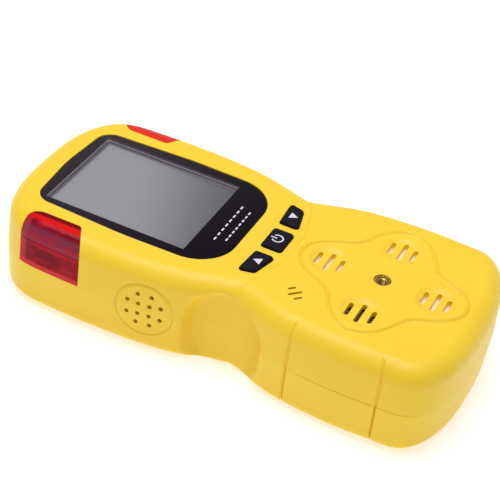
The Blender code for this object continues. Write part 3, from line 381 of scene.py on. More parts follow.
def settle(made, smooth_angle=32.0):
    """Replaces an object's mesh with its evaluated one, shaded smooth up to an angle."""
    graph = bpy.context.evaluated_depsgraph_get()
    mesh = bpy.data.meshes.new_from_object(made.evaluated_get(graph))
    made.modifiers.clear()
    made.data = mesh
    mesh.shade_smooth()
    mesh.set_sharp_from_angle(angle=math.radians(smooth_angle))
    return made


def carve(made, *steps):
    """Runs (operation, tool) Booleans in turn, then drops the tools."""
    for operation, tool in steps:
        step = made.modifiers.new("cut", "BOOLEAN")
        step.operation, step.solver, step.object = operation, "MANIFOLD", tool
    settle(made)
    for tool in {tool for _, tool in steps}:
        bpy.data.objects.remove(tool)
    return made


def bevelled(made, width, segments, angle):
    step = made.modifiers.new("edges", "BEVEL")
    step.width, step.segments = width * MM, segments
    step.limit_method, step.angle_limit = "ANGLE", math.radians(angle)
    return settle(made)


# ---- the outer bodies ------------------------------------------------------------------------
FINE, COARSE = plan(960), plan(240)
EDGE_STEP = 0.15              # from a sharp edge to the next level of points


def quarter(count):
    """Sines that run evenly round a quarter turn, from 0 to 1."""
    return [math.sin(math.pi / 2 * k / count) for k in range(count + 1)]


def front_body(name, faces=110):
    """The front cover's outside, with faces levels of points across its face."""
    edge_start = THICKNESS - TOP_RADIUS
    rings = [ring(FINE, SEAM, eased=True)]
    rings += [ring(FINE, z) for z in np.linspace(SEAM + EDGE_STEP, edge_start, 22)]
    rings += [ring(FINE, edge_start + TOP_RADIUS * rise) for rise in quarter(20)[1:]]
    for level in rings:
        level[:, 2] -= head_drop(level[:, 0], level[:, 1], level[:, 2])
    edge = rings[-1]
    spine = np.column_stack((np.zeros(len(edge)), np.clip(edge[:, 1], -SPINE, SPINE)))
    for s in np.linspace(1, 0.005, faces)[1:]:
        flat = spine + (edge[:, :2] - spine) * s
        rings.append(np.column_stack((flat, face_height(flat[:, 0], flat[:, 1]))))
    return loft(name, rings, strip_top=True)


def rear_body(name):
    """The rear cover's outside, and the battery door's."""
    heights = [BACK_RADIUS * (1 - rise) for rise in reversed(quarter(12))]
    rings = [ring(FINE, 0.0)]
    rings += [ring(FINE, z) for z in heights]
    rings += [ring(FINE, z) for z in np.linspace(BACK_RADIUS, REAR_TOP - EDGE_STEP, 24)[1:]]
    rings.append(ring(FINE, REAR_TOP, eased=True))
    return loft(name, rings)


def whole_body(name, low, high):
    """The body between two levels with no seam in it."""
    return loft(name, [ring(FINE, z) for z in np.linspace(low, high, 40)])


def inner_body(name, low, high, wall):
    """The space inside the body's walls, between two levels."""
    curve = [BACK_RADIUS - (BACK_RADIUS - wall) * rise for rise in quarter(4)]
    curve += [THICKNESS - TOP_RADIUS + (TOP_RADIUS - wall) * rise for rise in quarter(4)]
    curve += list(np.linspace(6, 24, 10))
    heights = sorted({low, high, *[z for z in curve if low < z < high]})
    return loft(name, [ring(COARSE, z, wall) for z in heights])


# ---- outlines --------------------------------------------------------------------------------
def lens_outline():
    others = [(-x, y, r) for x, y, r in reversed(LENS_CORNERS[:-1])]
    return rounded([*LENS_CORNERS, *others], steps=16)


def key_outline(name):
    return rounded([(x, y, KEY_CORNER) for x, y in KEYS[name]], steps=8)


def alarm_outline(side, grow=0.0):
    low, high = ALARM_SPAN
    rise = math.tan(math.radians(SLANT))
    inner, outer = ALARM_CORNERS
    corners = [
        (ALARM_EDGE, low + (ALARM_SIDE - ALARM_EDGE) * rise, inner),
        (ALARM_OUT, low - (ALARM_OUT - ALARM_SIDE) * rise, 0.0),
        (ALARM_OUT, high, 0.0), (ALARM_EDGE, high, outer),
    ]
    return [(side * x, y) for x, y in grown(rounded(corners, steps=14), grow)]


def slot_outlines():
    found = []
    for cx, cy in LOBES:
        x, y = SENSOR_OFFSET * cx, SENSOR_CENTRE + SENSOR_OFFSET * cy
        for row, length in zip((-1, 0, 1), SLOT_LENGTHS):
            found.append(stadium(x, y + row * SLOT_PITCH, length, SLOT_WIDTH))
    return found


def vent_outlines():
    return [stadium(x, y, length, VENT_WIDTH, VENT_TURN, steps=5) for x, y, length in VENTS]


def circles(spots, radius, sides):
    return [circle(x, y, radius, sides) for x, y in spots]


def grille_ring():
    """The torus that sinks the soft ring round the grille, tilted to lie along the side."""
    around, count = np.linspace(0, 2 * math.pi, 96, endpoint=False), 20
    behind, ahead = half_width(np.array([SPEAKER[0] - SPEAKER_RADIUS, SPEAKER[0] + SPEAKER_RADIUS]))
    lean = (ahead - behind) / (2 * SPEAKER_RADIUS)
    points = []
    for a in around:
        for b in np.linspace(0, 2 * math.pi, count, endpoint=False):
            reach = SPEAKER_RADIUS + RING_RADIUS * math.cos(b)
            y, z = reach * math.cos(a), reach * math.sin(a)
            x = (ahead + behind) / 2 + RING_RADIUS - RING_DEPTH + RING_RADIUS * math.sin(b) + lean * y
            points.append((-x, SPEAKER[0] + y, SPEAKER[1] + z))
    faces = []
    for i in range(len(around)):
        for j in range(count):
            a, b = i * count, (i + 1) % len(around) * count
            faces.append((a + j, a + (j + 1) % count, b + (j + 1) % count, b + j))
    return settle(mesh_object("grille_ring", points, faces))


def bore(radius, start, end):
    """A cylinder on the grille's axis, between two places across the body."""
    return upright(prism("bore", [circle(*SPEAKER, radius, 72)], start, end), "X")


# ---- visible pieces --------------------------------------------------------------------------
def grille_seat():
    """The tools that make room for the grille, its flange and the ring round it."""
    return [
        ("DIFFERENCE", bore(SPEAKER_RADIUS + SPEAKER_GAP, OUTSIDE, -30)),
        ("DIFFERENCE", bore(FLANGE_SEAT, -32.6, -25)),
        ("DIFFERENCE", grille_ring()),
    ]


def make_front_cover():
    middle = (0, SENSOR_CENTRE)
    bosses = circles(SCREWS, BOSS_RADIUS, 20) + [circle(*middle, INSERT_BOSS)]
    seat = grown(lens_outline(), LENS_GAP)
    keyholes = [grown(key_outline(name), KEY_GAP) for name in KEYS]
    alarms = [alarm_outline(side, ALARM_GAP) for side in (1, -1)]
    return carve(
        front_body("front_cover_shell"),
        ("DIFFERENCE", inner_body("hollow", SEAM - 6, CEILING, WALL)),
        ("UNION", prism("bosses", bosses, 18, 30)),
        ("UNION", prism("ledge", [plate(26, 0.4, 70.6, 4, 4)], 28.6, 30)),
        ("DIFFERENCE", prism("seat", [seat], LENS_SEAT, ABOVE)),
        ("DIFFERENCE", prism("insert", [circle(*middle, INSERT_SEAT)], 26, ABOVE)),
        ("DIFFERENCE", prism("slots", slot_outlines() + vent_outlines(), CEILING - 1, ABOVE)),
        ("DIFFERENCE", prism("keyholes", keyholes, CEILING - 1, ABOVE)),
        ("DIFFERENCE", box("window", (-21.2, 14.4, 27), (21.2, 65.8, 31))),
        ("DIFFERENCE", prism("alarms", alarms, SEAM - 2, ABOVE)),
        *grille_seat(),
    )


def make_rear_cover():
    start, end = DOOR
    zone = box("zone", (-BESIDE, start - WALL, 0), (BESIDE, end + WALL, 18))
    hollow = carve(inner_body("hollow", WALL, 17, WALL), ("DIFFERENCE", zone))
    space = box("space", (-BESIDE, start, BELOW), (BESIDE, end, 18))
    carve(space, ("DIFFERENCE", inner_body("core", 2.5, 19, 2.5)))
    flap, label = plate(8.2, 4.6, 13.0, 1.2, 2.4), plate(20.3, 7.7, 52.3, 3, 3)
    return carve(
        rear_body("rear_cover_shell"),
        ("DIFFERENCE", space),
        ("DIFFERENCE", inner_body("tray", DOOR_BACKING, 17, DOOR_BACKING)),
        ("DIFFERENCE", hollow),
        ("UNION", prism("posts", circles(SCREWS, POST_RADIUS, 20), 1, 15.7)),
        ("UNION", box("well", (-27, start + 1, 3.2), (27, end - 1, 10.3))),
        ("DIFFERENCE", inner_body("seal_seat", SEAM - SEAL_DEPTH, 17, SEAL_WALL)),
        ("DIFFERENCE", prism("holes", circles(SCREWS, SCREW_BORE, 20), 2, 17)),
        ("DIFFERENCE", box("battery", (-25.2, -56.15, 1), (25.2, -30.95, 9.2))),
        ("DIFFERENCE", prism("heads", circles(SCREWS, SCREW_HEAD, 32), BELOW, 2.8)),
        ("DIFFERENCE", upright(prism("flap", [flap], 77.6, 90), "Y")),
        ("DIFFERENCE", box("port", (-5.2, 70, 6.4), (5.2, 90, 11.0))),
        ("DIFFERENCE", prism("label", [label], BELOW, 0.7)),
        *grille_seat(),
    )


def make_battery_door():
    (start, end), (start_gap, end_gap) = DOOR, DOOR_GAPS
    screws = [(side * DOOR_SCREW_X, SENSOR_CENTRE) for side in (1, -1)]
    keep = box("keep", (-BESIDE, start + start_gap, BELOW), (BESIDE, end - end_gap, 17))
    return carve(
        rear_body("battery_door_shell"),
        ("INTERSECT", keep),
        ("DIFFERENCE", inner_body("inside", WALL, 17, WALL)),
        ("DIFFERENCE", inner_body("seal_seat", SEAM - SEAL_DEPTH, 17, SEAL_WALL)),
        ("DIFFERENCE", prism("holes", circles(screws, 1.4, 24), BELOW, 4)),
        ("DIFFERENCE", prism("seats", circles(screws, SCREW_HEAD, 32), BELOW, 1.3)),
    )


def make_grille():
    spots = []
    for count, distance, first in SPEAKER_HOLES:
        for k in range(count):
            a = math.radians(first + 360 * k / count)
            spots.append((SPEAKER[0] + distance * math.cos(a), SPEAKER[1] + distance * math.sin(a)))
    holes = circles(spots, HOLE_RADIUS, 20)
    return carve(
        whole_body("speaker_grille_disc", 4.5, 27.5),
        ("INTERSECT", bore(SPEAKER_RADIUS, OUTSIDE, FLANGE_SPAN[1])),
        ("DIFFERENCE", grille_ring()),
        ("UNION", bore(FLANGE_RADIUS, *FLANGE_SPAN)),
        ("DIFFERENCE", bore(7.8, -34.2, -30)),
        ("DIFFERENCE", upright(prism("holes", holes, OUTSIDE, -33), "X")),
    )


def make_alarm_lens(side, name):
    top = THICKNESS - HEAD_DROP - ALARM_WALL
    return carve(
        front_body("alarm_lens_%s_glass" % name, faces=40),
        ("INTERSECT", prism("cut", [alarm_outline(side)], SEAM - 1, THICKNESS + 1)),
        ("DIFFERENCE", inner_body("hollow", SEAM + 1.6, top, ALARM_WALL)),
    )


def make_insert():
    """The threaded bush: a knurled flange, a turned groove and a bore with raised threads."""
    crest, root, pitch, thread_top = 1.32, 1.62, 0.36, 31.45
    rim, knurls, knurl_depth, notch = 2.47, 20, 0.09, 0.14
    levels = [(2.45, 26.4), (2.45, 31.35), (2.6, 31.45), (2.6, 31.7), (2.5, 31.78), (2.02, 31.78)]
    levels += [(1.98, 31.15), (1.8, 31.15), (1.78, 31.6)]
    for k in range(14):
        z = thread_top - pitch * k
        levels += [(root, z), (crest, z - pitch / 2)]
    turn = np.linspace(0, 2 * math.pi, 120, endpoint=False)
    tooth = np.sin(knurls * turn)
    rings = []
    for radius, z in levels:
        across = radius + knurl_depth * (np.sign(tooth) - 1) * (radius > rim)
        lift = np.where(tooth > 0, 0.0, -notch) * (2.0 < radius < 2.55 and z > 31.7)
        x, y = across * np.cos(turn), SENSOR_CENTRE + across * np.sin(turn)
        rings.append(np.column_stack((x, y, z + lift)))
    return settle(loft("calibration_bush", rings), 30)


def make_lens():
    """The display lens: a plate with a narrow chamfer."""
    outline = lens_outline()
    levels = ((30.35, 0.0), (31.15, 0.0), (31.3, 0.08), (LENS_LEVEL - 0.02, 0.34), (LENS_LEVEL, 0.5))
    rings = []
    for z, inset in levels:
        rings.append(np.array([(x, y, z) for x, y in (grown(outline, -inset) if inset else outline)]))
    if sum(a[0] * b[1] - b[0] * a[1] for a, b in zip(outline, outline[1:] + outline[:1])) < 0:
        rings = [r[::-1] for r in rings]
    return settle(loft("display_lens_glass", rings), 12)


def make_key(name):
    """A key's cap with rounded edges, and the flange that holds it behind the face."""
    outline = key_outline(name)
    cap = bevelled(prism("key_%s_cap" % name, [outline], 28.7, KEY_TOP), 0.75, segments=5, angle=60)
    return carve(cap, ("UNION", prism("flange", [grown(outline, 1.0)], 27.7, 28.8)))


# ---- materials -------------------------------------------------------------------------------
class Shader:
    """A material's node tree with short ways to add nodes and wire them."""

    def __init__(self, name):
        self.material = bpy.data.materials.new(name)
        self.material.use_nodes = True
        self.tree = self.material.node_tree
        self.main = self.tree.nodes["Principled BSDF"]
        self.output = self.tree.nodes["Material Output"]
        self.place = self.add("ShaderNodeTexCoord").outputs["Object"]

    def add(self, kind, **inputs):
        made = self.tree.nodes.new(kind)
        for key, value in inputs.items():
            self.set(made, key.replace("_", " "), value)
        return made

    def set(self, node, key, value):
        socket = node.inputs[int(key)] if key.isdigit() else node.inputs[key]
        if isinstance(value, bpy.types.NodeSocket):
            self.tree.links.new(value, socket)
        else:
            socket.default_value = value

    def math(self, operation, a, b=0.0):
        made = self.tree.nodes.new("ShaderNodeMath")
        made.operation = operation
        for key, value in zip("01", (a, b)):
            self.set(made, key, value)
        return made.outputs[0]

    def noise(self, scale, detail=2.0, rough=0.5, stretch=(1, 1, 1)):
        mapped = self.add("ShaderNodeMapping", Vector=self.place, Scale=stretch).outputs[0]
        made = self.add("ShaderNodeTexNoise", Vector=mapped, Scale=scale, Detail=detail, Roughness=rough)
        return made.outputs["Fac"]

    def spread(self, value, low, high, to_low=0.0, to_high=1.0):
        """Turns low to high into to_low to to_high, smoothly, and holds the ends."""
        made = self.add("ShaderNodeMapRange")
        made.interpolation_type = "SMOOTHSTEP"
        for key, item in zip("01234", (value, low, high, to_low, to_high)):
            self.set(made, key, item)
        return made.outputs[0]

    def mix(self, share, a, b):
        made = self.tree.nodes.new("ShaderNodeMix")
        made.data_type = "RGBA"
        self.set(made, "0", share)
        for socket, value in ((made.inputs[6], a), (made.inputs[7], b)):
            if isinstance(value, bpy.types.NodeSocket):
                self.tree.links.new(value, socket)
            else:
                socket.default_value = (*value, 1.0)
        return made.outputs[2]

    def blend(self, share, a, b):
        """A mix of two surfaces."""
        made = self.tree.nodes.new("ShaderNodeMixShader")
        for key, value in zip("012", (share, a, b)):
            self.set(made, key, value)
        return made.outputs[0]

    def axes(self):
        return self.add("ShaderNodeSeparateXYZ", Vector=self.place).outputs

    def past_window(self, half):
        """How far outside the display's window a point lies, in plan; below zero inside it."""
        x, y, _ = self.axes()
        beside = self.math("SUBTRACT", self.math("ABSOLUTE", x), half[0] * MM)
        along = self.math("ABSOLUTE", self.math("SUBTRACT", y, DISPLAY_MIDDLE * MM))
        return self.math("MAXIMUM", beside, self.math("SUBTRACT", along, half[1] * MM))

    def bump(self, height, distance, strength, after=None):
        made = self.add("ShaderNodeBump", Height=height, Distance=distance, Strength=strength)
        if after is not None:
            self.set(made, "Normal", after)
        return made.outputs[0]

    def finish(self, **inputs):
        for key, value in inputs.items():
            key = key.replace("_", " ")
            if isinstance(value, tuple) and self.main.inputs[key].type == "RGBA":
                value = (*value[:3], 1.0)
            self.set(self.main, key, value)
        return self.material


def moulded(name, colour, rough, dark=None):
    """Injection-moulded plastic: fine sparked grain, faint mottling, and edges polished a little paler."""
    s = Shader(name)
    grain, grain_depth, vary, wear, lift = 2600.0, 0.000012, 0.48, 0.25, 1.35
    fine, flow, patch = s.noise(grain, 3.0), s.noise(55, 3.0, 0.6, (1, 0.5, 1)), s.noise(420, 4.0, 0.65)
    dark = dark or tuple(c * 0.8 for c in colour)
    shade = s.mix(s.spread(flow, 0.3, 0.75, 0.0, vary), colour, dark)
    edge = s.spread(s.add("ShaderNodeNewGeometry").outputs["Pointiness"], 0.53, 0.60)
    edge = s.math("MULTIPLY", edge, s.spread(patch, 0.35, 0.65, 0.3, 1.0))
    pale = tuple(min(c * lift + 0.02, 1.0) for c in colour)
    shade = s.mix(s.math("MULTIPLY", edge, wear), shade, pale)
    roughness = s.spread(patch, 0.3, 0.7, rough - 0.05, rough + 0.05)
    roughness = s.math("ADD", roughness, s.math("MULTIPLY", edge, -0.06))
    normal = s.bump(fine, grain_depth, 0.6, s.bump(s.noise(160, 2.0), 0.00002, 0.25))
    return s.finish(Base_Color=shade, Roughness=roughness, Normal=normal, Specular_IOR_Level=0.33)


def rubber(name, colour, rough, shine=0.3):
    """Matt rubber with a little dust on it."""
    s = Shader(name)
    fine, dust = s.noise(3800, 3.0), s.noise(700, 5.0, 0.7)
    pale = tuple(c * 1.8 + 0.01 for c in colour)
    shade = s.mix(s.spread(dust, 0.5, 0.8, 0.0, 0.45), colour, pale)
    return s.finish(
        Base_Color=shade, Roughness=s.spread(dust, 0.3, 0.8, rough - 0.08, rough + 0.12),
        Normal=s.bump(fine, 0.00001, 0.5), Specular_IOR_Level=shine,
    )


def metal(name, colour, rough, tarnish=0.35):
    """Brushed metal, darker in patches."""
    s = Shader(name)
    brushed, patch = s.noise(900, 3.0, 0.6, (1, 1, 30)), s.noise(600, 4.0)
    dull = tuple(c * 0.45 for c in colour)
    return s.finish(
        Base_Color=s.mix(s.spread(patch, 0.45, 0.8, 0.0, tarnish), colour, dull), Metallic=1.0,
        Roughness=s.spread(brushed, 0.3, 0.7, rough - 0.06, rough + 0.12),
        Normal=s.bump(brushed, 0.00001, 0.4),
    )


def black_lens():
    """Clear over the display window, and black print on its top face everywhere else."""
    s = Shader("lens_gloss")
    _, y, z = s.axes()
    print_foot = 30.8 * MM
    printed_here = s.math("GREATER_THAN", s.past_window(WINDOW), 0.0)
    printed_here = s.math("MULTIPLY", printed_here, s.math("GREATER_THAN", z, print_foot))
    haze = s.noise(900, 4.0)
    s.finish(
        # Painted reflection: the print is painted a little paler towards the display end, darker towards
        # the sensor end, and its specular level rises the same way.
        Base_Color=s.mix(s.spread(y, 0.01, 0.06), (0.004, 0.002, 0.005), (0.016, 0.009, 0.017)),
        Roughness=s.spread(haze, 0.3, 0.8, 0.05, 0.10),
        Specular_IOR_Level=s.spread(y, 0.0, 0.07, 0.12, 0.32),
        Specular_Tint=(1.0, 0.85, 1.0), Normal=s.bump(s.noise(60, 1.0), 0.00002, 0.05),
    )
    clear = s.add("ShaderNodeBsdfTransparent", Color=(0.97, 0.97, 0.98, 1)).outputs[0]
    gloss = s.add("ShaderNodeBsdfGlossy", Color=(0.95, 0.92, 1.0, 1), Roughness=0.05).outputs[0]
    front = s.math("SUBTRACT", 1.0, s.add("ShaderNodeNewGeometry").outputs["Backfacing"])
    mirror = s.math("MULTIPLY", s.add("ShaderNodeFresnel", IOR=1.5).outputs[0], front)
    window = s.blend(s.math("MULTIPLY", mirror, 0.5), clear, gloss)
    s.tree.links.new(s.blend(printed_here, window, s.main.outputs[0]), s.output.inputs["Surface"])
    return s.material


def display_glass():
    """The unlit display: a satin grey polariser with a faint cell grid, a painted reflection that darkens
    towards the keys' end, and a painted shadow of the window's frame as a darker band round its edge.
    """
    s = Shader("lcd_grey")
    x, y, _ = s.axes()
    grid = s.add("ShaderNodeTexBrick", Vector=s.place, Scale=1400.0, Mortar_Size=0.02)
    grid.offset = 0.0
    s.set(grid, "Color1", (0.335, 0.335, 0.35, 1))
    s.set(grid, "Color2", (0.325, 0.325, 0.34, 1))
    s.set(grid, "Mortar", (0.30, 0.30, 0.31, 1))
    cloud = s.noise(40, 3.0)
    shade = s.mix(s.spread(cloud, 0.3, 0.8, 0.0, 0.25), grid.outputs[0], (0.29, 0.295, 0.30))
    # Painted reflection: the grey is painted darker towards the keys' end.
    reflection_fade = s.math("ADD", s.math("MULTIPLY", y, -1.0), s.math("MULTIPLY", x, 0.35))
    shade = s.mix(s.spread(reflection_fade, -0.048, -0.008, 0.0, 0.9), shade, (0.10, 0.10, 0.105))
    # Painted shadow: a darker band within a millimetre inside the window's edge, where the frame's shadow
    # falls.
    shade = s.mix(s.spread(s.past_window(WINDOW), -1.25 * MM, -1.0 * MM), shade, (0.17, 0.165, 0.18))
    return s.finish(Base_Color=shade, Roughness=s.spread(cloud, 0.3, 0.7, 0.24, 0.32))


def tape_print():
    """The dark border under the lens, with a thin pale line round its window, glowing a little as painted
    light.
    """
    s = Shader("lens_border")
    line = s.spread(s.past_window(TAPE_WINDOW), 0.45 * MM, 0.2 * MM, 0.0, 0.8)
    patch = s.noise(300, 3.0)
    shade = s.mix(s.spread(patch, 0.3, 0.7), (0.085, 0.058, 0.080), (0.105, 0.075, 0.100))
    shade = s.mix(line, shade, (0.36, 0.33, 0.36))
    return s.finish(
        Base_Color=shade, Roughness=s.spread(patch, 0.3, 0.7, 0.4, 0.6),
        # Painted light: the border glows a little, so the walls of its window are not left black.
        Emission_Color=shade, Emission_Strength=0.5,
    )


def alarm_glass():
    """Tinted red lens with dim prisms inside. Its light and shade are painted: a bright rim along the seam
    and the display end, a mauve reflection on the shoulder with a dark line under it, and a redder top,
    brighter on the right lens.
    """
    s = Shader("alarm_lens_red")
    x, y, z = s.axes()
    prisms = s.noise(130, 3.0, 0.6, (1, 0.7, 1.6))
    body = s.mix(s.spread(prisms, 0.42, 0.62), (0.20, 0.004, 0.012), (0.46, 0.010, 0.022))
    # Painted highlight: a bright rim along the seam and along the display end.
    low_rim_highlight, end_rim_highlight = s.spread(z, 18.2 * MM, 17.5 * MM), s.spread(y, 61.6 * MM, 62.2 * MM, 0.0, 0.5)
    shade = s.mix(s.math("MAXIMUM", low_rim_highlight, end_rim_highlight), body, (0.66, 0.035, 0.035))
    # Painted reflection: a mauve band over the shoulder, broken up by the prisms.
    shoulder_reflection = s.math("MULTIPLY", s.spread(z, 25.6 * MM, 26.1 * MM), s.spread(z, 30.6 * MM, 29.4 * MM))
    streak = s.spread(prisms, 0.2, 0.6, 0.9, 0.4)
    shade = s.mix(s.math("MULTIPLY", shoulder_reflection, streak), shade, (0.24, 0.055, 0.11))
    # Painted highlight: the top is painted redder, on the left lens only past 30.6 mm out, on the right
    # lens all over.
    beyond_edge = s.spread(s.math("ABSOLUTE", x), 29.6 * MM, 30.6 * MM)
    painted_crown = s.mix(beyond_edge, (0.20, 0.0, 0.004), (0.74, 0.008, 0.008))
    painted_crown = s.mix(s.math("GREATER_THAN", x, 0.0), painted_crown, (0.75, 0.032, 0.018))
    shade = s.mix(s.spread(z, 30.9 * MM, 31.5 * MM), shade, painted_crown)
    # Painted shade: a dark line just under the shoulder.
    line = s.math("MULTIPLY", s.spread(z, 25.2 * MM, 25.6 * MM), s.spread(z, 26.0 * MM, 25.7 * MM))
    shade = s.mix(s.math("MULTIPLY", line, 0.7), shade, (0.09, 0.0, 0.004))
    return s.finish(
        Base_Color=shade, Roughness=s.spread(prisms, 0.3, 0.7, 0.12, 0.2), IOR=1.52,
        Specular_IOR_Level=0.12, Specular_Tint=(1.0, 0.5, 0.6),
        Subsurface_Weight=0.25, Subsurface_Radius=(0.004, 0.0006, 0.0006),
        Subsurface_Scale=0.5, Normal=s.bump(s.noise(500, 2.0), 0.00001, 0.15),
    )


def board():
    """Green solder mask, with a faint pattern of tracks."""
    s = Shader("board_mask")
    tracks = s.add("ShaderNodeTexBrick", Vector=s.place, Scale=420.0, Mortar_Size=0.03)
    s.set(tracks, "Color1", (0.012, 0.13, 0.055, 1))
    s.set(tracks, "Color2", (0.016, 0.16, 0.065, 1))
    s.set(tracks, "Mortar", (0.05, 0.24, 0.11, 1))
    return s.finish(Base_Color=tracks.outputs[0], Roughness=s.spread(s.noise(500), 0.3, 0.7, 0.3, 0.5))


def felt(name, colour, glow):
    """Pressed fibre. Its glow stands in for light that hardly finds its way down the slots."""
    s = Shader(name)
    fibre = s.noise(2400, 5.0, 0.7, (1, 2.5, 1))
    shade = s.mix(s.spread(fibre, 0.35, 0.7), tuple(c * 0.8 for c in colour), colour)
    return s.finish(
        Base_Color=shade, Roughness=0.9, Normal=s.bump(fibre, 0.00006, 0.8),
        Emission_Color=shade, Emission_Strength=glow,
    )


def printed():
    """Pale ink, for symbols and dashes."""
    s = Shader("pale_print")
    ink = s.noise(1500, 3.0)
    return s.finish(
        Base_Color=s.mix(s.spread(ink, 0.4, 0.8, 0, 0.3), (0.72, 0.70, 0.82), (0.60, 0.58, 0.70)),
        Roughness=s.spread(ink, 0.3, 0.7, 0.4, 0.5),
    )


def wrap():
    """The battery pack's creased blue film."""
    s = Shader("battery_film")
    crease = s.noise(260, 4.0, 0.6, (0.4, 1, 1))
    shade = s.mix(s.spread(crease, 0.4, 0.7), (0.05, 0.13, 0.34), (0.08, 0.19, 0.44))
    return s.finish(Base_Color=shade, Roughness=0.3, Normal=s.bump(crease, 0.0001, 0.3))


YELLOW = (0.93, 0.64, 0.034)
LOOKS = {
    "yellow_shell": moulded("shell_yellow", YELLOW, 0.40, dark=(0.90, 0.58, 0.024)),
    "black_lens": black_lens(),
    "display_grey": display_glass(),
    "key_rubber": rubber("key_black", (0.008, 0.005, 0.011), 0.6, 0.1),
    "alarm_red": alarm_glass(),
    "grey_rubber": rubber("seal_grey", (0.05, 0.05, 0.055), 0.75),
    "white_plastic": moulded("plain_white", (0.78, 0.77, 0.73), 0.5),
    "black_plastic": moulded("plain_black", (0.02, 0.02, 0.021), 0.5),
    "board_green": board(),
    "steel": metal("plain_steel", (0.56, 0.56, 0.57), 0.3),
    "brass": metal("turned_brass", (0.66, 0.40, 0.12), 0.26, tarnish=0.8),
    "filter_white": felt("filter_felt", (0.88, 0.78, 0.70), 0.45),
    "steel_mesh": metal("mesh_steel", (0.05, 0.042, 0.036), 0.5),
    "battery_wrap": wrap(),
    "label_silver": moulded("label_film", (0.58, 0.59, 0.60), 0.35),
}
PRINT = printed()
# Pieces whose looks are their own, not their slot's.
OWN = {"lens_tape": tape_print(), "vent_membrane": felt("membrane_felt", (0.17, 0.11, 0.05), 0.0)}
WIRE = metal("wire_steel", (0.80, 0.62, 0.46), 0.5)


def dress(made, slot, body="case", stands_for=None):
    """Gives a piece its material and its body, and hides the CAD piece that it stands for."""
    made.data.materials.clear()
    made.data.materials.append(LOOKS[slot])
    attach(made, body)
    if stands_for:
        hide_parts(stands_for)
    return made


# ---- small print and details -----------------------------------------------------------------
INK_RISE, ICON_SINK, DASH_SINK, STROKE = 0.02, 0.15, 0.1, 0.5
DASHES = ((9.7, 8, 2.75, 1.7), (6.3, 8, 2.35, 1.5))  # y, count, pitch and length
ICON_ROUND = 0.1


def make_print(name, outlines, top, sink, body):
    made = prism(name, outlines, top - sink, top + INK_RISE)
    made.data.materials.append(PRINT)
    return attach(made, body)


def arc_band(x, y, radius, start, end, steps=28):
    turns = [math.radians(start + (end - start) * k / steps) for k in range(steps + 1)]
    band = []
    for reach, order in ((radius + STROKE / 2, turns), (radius - STROKE / 2, turns[::-1])):
        band += [(x + reach * math.cos(a), y + reach * math.sin(a)) for a in order]
    return band


def make_symbols():
    x, y = 0.0, -7.4
    icons = (
        ("power_symbol_ring", arc_band(x, y, 1.75, 128, 412), "key_power"),
        ("power_symbol_bar", stadium(x, y + 1.2, 2.2, STROKE, 90), "key_power"),
        ("up_symbol", [(-15.3, -8.0), (-12.1, -8.0), (-13.7, -5.3)], "key_left"),
        ("down_symbol", [(15.3, -5.6), (12.1, -5.6), (13.7, -8.3)], "key_right"),
    )
    for name, outline, key in icons:
        if len(outline) == 3:
            outline = rounded([(a, b, ICON_ROUND) for a, b in outline], 3)
        make_print(name, [outline], KEY_TOP, ICON_SINK, key)
    dashes = []
    for y, count, pitch, length in DASHES:
        dashes += [stadium((k - (count - 1) / 2) * pitch, y, length, 0.55) for k in range(count)]
    make_print("lens_dashes", dashes, LENS_LEVEL, DASH_SINK, "case")


def make_mesh_filter():
    """Woven steel over the combustible gas sensor, on its dark disc."""
    cx, cy, z = -SENSOR_OFFSET, SENSOR_CENTRE, 28.45
    disc, wire, pitch, sway, diagonal = 6.6, 0.13, 0.62, 0.12, 0.7071
    curve = bpy.data.curves.new("mesh_wires", "CURVE")
    curve.dimensions = "3D"
    curve.bevel_depth, curve.bevel_resolution = wire * MM, 1
    for way in (1, -1):
        for row in range(-10, 11):
            v = row * pitch
            reach = math.sqrt(max(disc ** 2 - v * v, 0.1))
            count = int(2 * reach / pitch * 2) + 2
            spline = curve.splines.new("POLY")
            spline.points.add(count)
            for k, point in enumerate(spline.points):
                u = -reach + 2 * reach * k / count
                lift = sway * way * math.cos(math.pi * (u / pitch)) * (1 if row % 2 else -1)
                x, y = (u - way * v) * diagonal, (way * u + v) * diagonal
                point.co = ((cx + x) * MM, (cy + y) * MM, (z + lift) * MM, 1)
    holder = bpy.data.objects.new("combustible_mesh_wires", curve)
    bpy.context.scene.collection.objects.link(holder)
    graph = bpy.context.evaluated_depsgraph_get()
    mesh = bpy.data.meshes.new_from_object(holder.evaluated_get(graph))
    bpy.data.objects.remove(holder)
    made = bpy.data.objects.new("combustible_mesh", mesh)
    bpy.context.scene.collection.objects.link(made)
    dress(made, "steel_mesh")
    made.data.materials[0] = WIRE


# ---- stage -----------------------------------------------------------------------------------
def make_stage():
    floor_half, floor_top = 6000, -0.02
    floor = box("studio_floor", (-floor_half, -floor_half, -20), (floor_half, floor_half, floor_top))
    s = Shader("studio_white")
    s.finish(Base_Color=(0.75, 0.75, 0.76), Roughness=0.6, Emission_Color=(1, 1, 1), Emission_Strength=0.5)
    floor.data.materials.append(s.material)


def make_light():
    """One large soft box overhead, aimed at the object."""
    place, size, power = Vector((60, 120, 900)), 620, 6.2
    light = bpy.data.lights.new("overhead", "AREA")
    light.shape, light.size, light.size_y = "RECTANGLE", size * MM, size * MM
    light.energy = power
    made = bpy.data.objects.new("overhead", light)
    made.location = place * MM
    made.rotation_mode = "QUATERNION"
    made.rotation_quaternion = (-made.location).to_track_quat("-Z", "Y")
    bpy.context.scene.collection.objects.link(made)


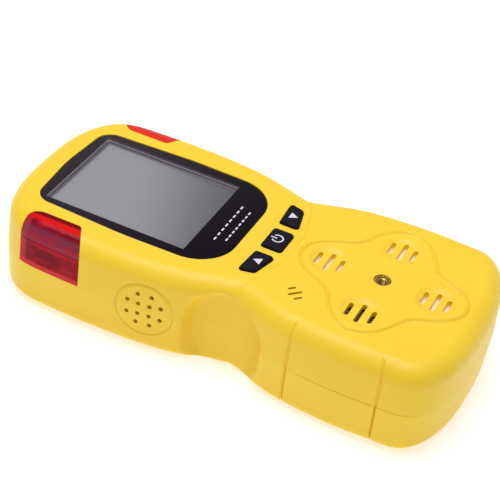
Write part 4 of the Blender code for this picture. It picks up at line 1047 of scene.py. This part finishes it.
def make_world():
    world = bpy.data.worlds.new("studio")
    bpy.context.scene.world = world
    world.use_nodes = True
    back = world.node_tree.nodes["Background"]
    back.inputs["Color"].default_value = (1, 1, 1, 1)
    back.inputs["Strength"].default_value = 0.42


def make_camera():
    camera = bpy.data.objects.new("camera", bpy.data.cameras.new("camera"))
    bpy.context.scene.collection.objects.link(camera)
    azimuth, elevation, roll = (math.radians(a) for a in (-69.41, 37.23, 8.28))
    camera.location = Vector((-361.0, -134.4, 317.3)) * MM
    camera.data.lens, camera.data.sensor_width = 109.6, 36.0
    camera.data.clip_start, camera.data.clip_end = 0.01, 50.0
    level = math.cos(elevation)
    back = Vector((math.sin(azimuth) * level, -math.cos(azimuth) * level, math.sin(elevation)))
    across = (-back).cross(Vector((0, 0, 1))).normalized()
    up = across.cross(-back)
    right = across * math.cos(roll) + up * math.sin(roll)
    up = up * math.cos(roll) - across * math.sin(roll)
    camera.rotation_mode = "QUATERNION"
    camera.rotation_quaternion = Matrix((right, up, back)).transposed().to_quaternion()
    bpy.context.scene.camera = camera


# ---- put it together -------------------------------------------------------------------------
for node, thing in frame["nodes"].items():
    slot = next(p["material_slot"] for p in frame["record"]["subparts"] if p["node"] == node)
    thing.data.materials.clear()
    thing.data.materials.append(OWN.get(node, LOOKS[slot]))

dress(make_front_cover(), "yellow_shell", stands_for="front_cover")
dress(make_rear_cover(), "yellow_shell", stands_for="rear_cover")
dress(make_battery_door(), "yellow_shell", stands_for="battery_door")
dress(make_grille(), "yellow_shell", stands_for="speaker_grille")
dress(make_lens(), "black_lens", stands_for="display_lens")
dress(make_insert(), "brass", stands_for="calibration_insert")
for side, name in ((1, "right"), (-1, "left")):
    dress(make_alarm_lens(side, name), "alarm_red", stands_for="alarm_lens_" + name)
for name in KEYS:
    dress(make_key(name), "key_rubber", "key_" + name, "key_" + name)
make_symbols()
make_mesh_filter()

make_stage()
make_world()
make_light()
make_camera()
scene = bpy.context.scene
scene.view_settings.view_transform = "Standard"
scene.view_settings.look = "None"
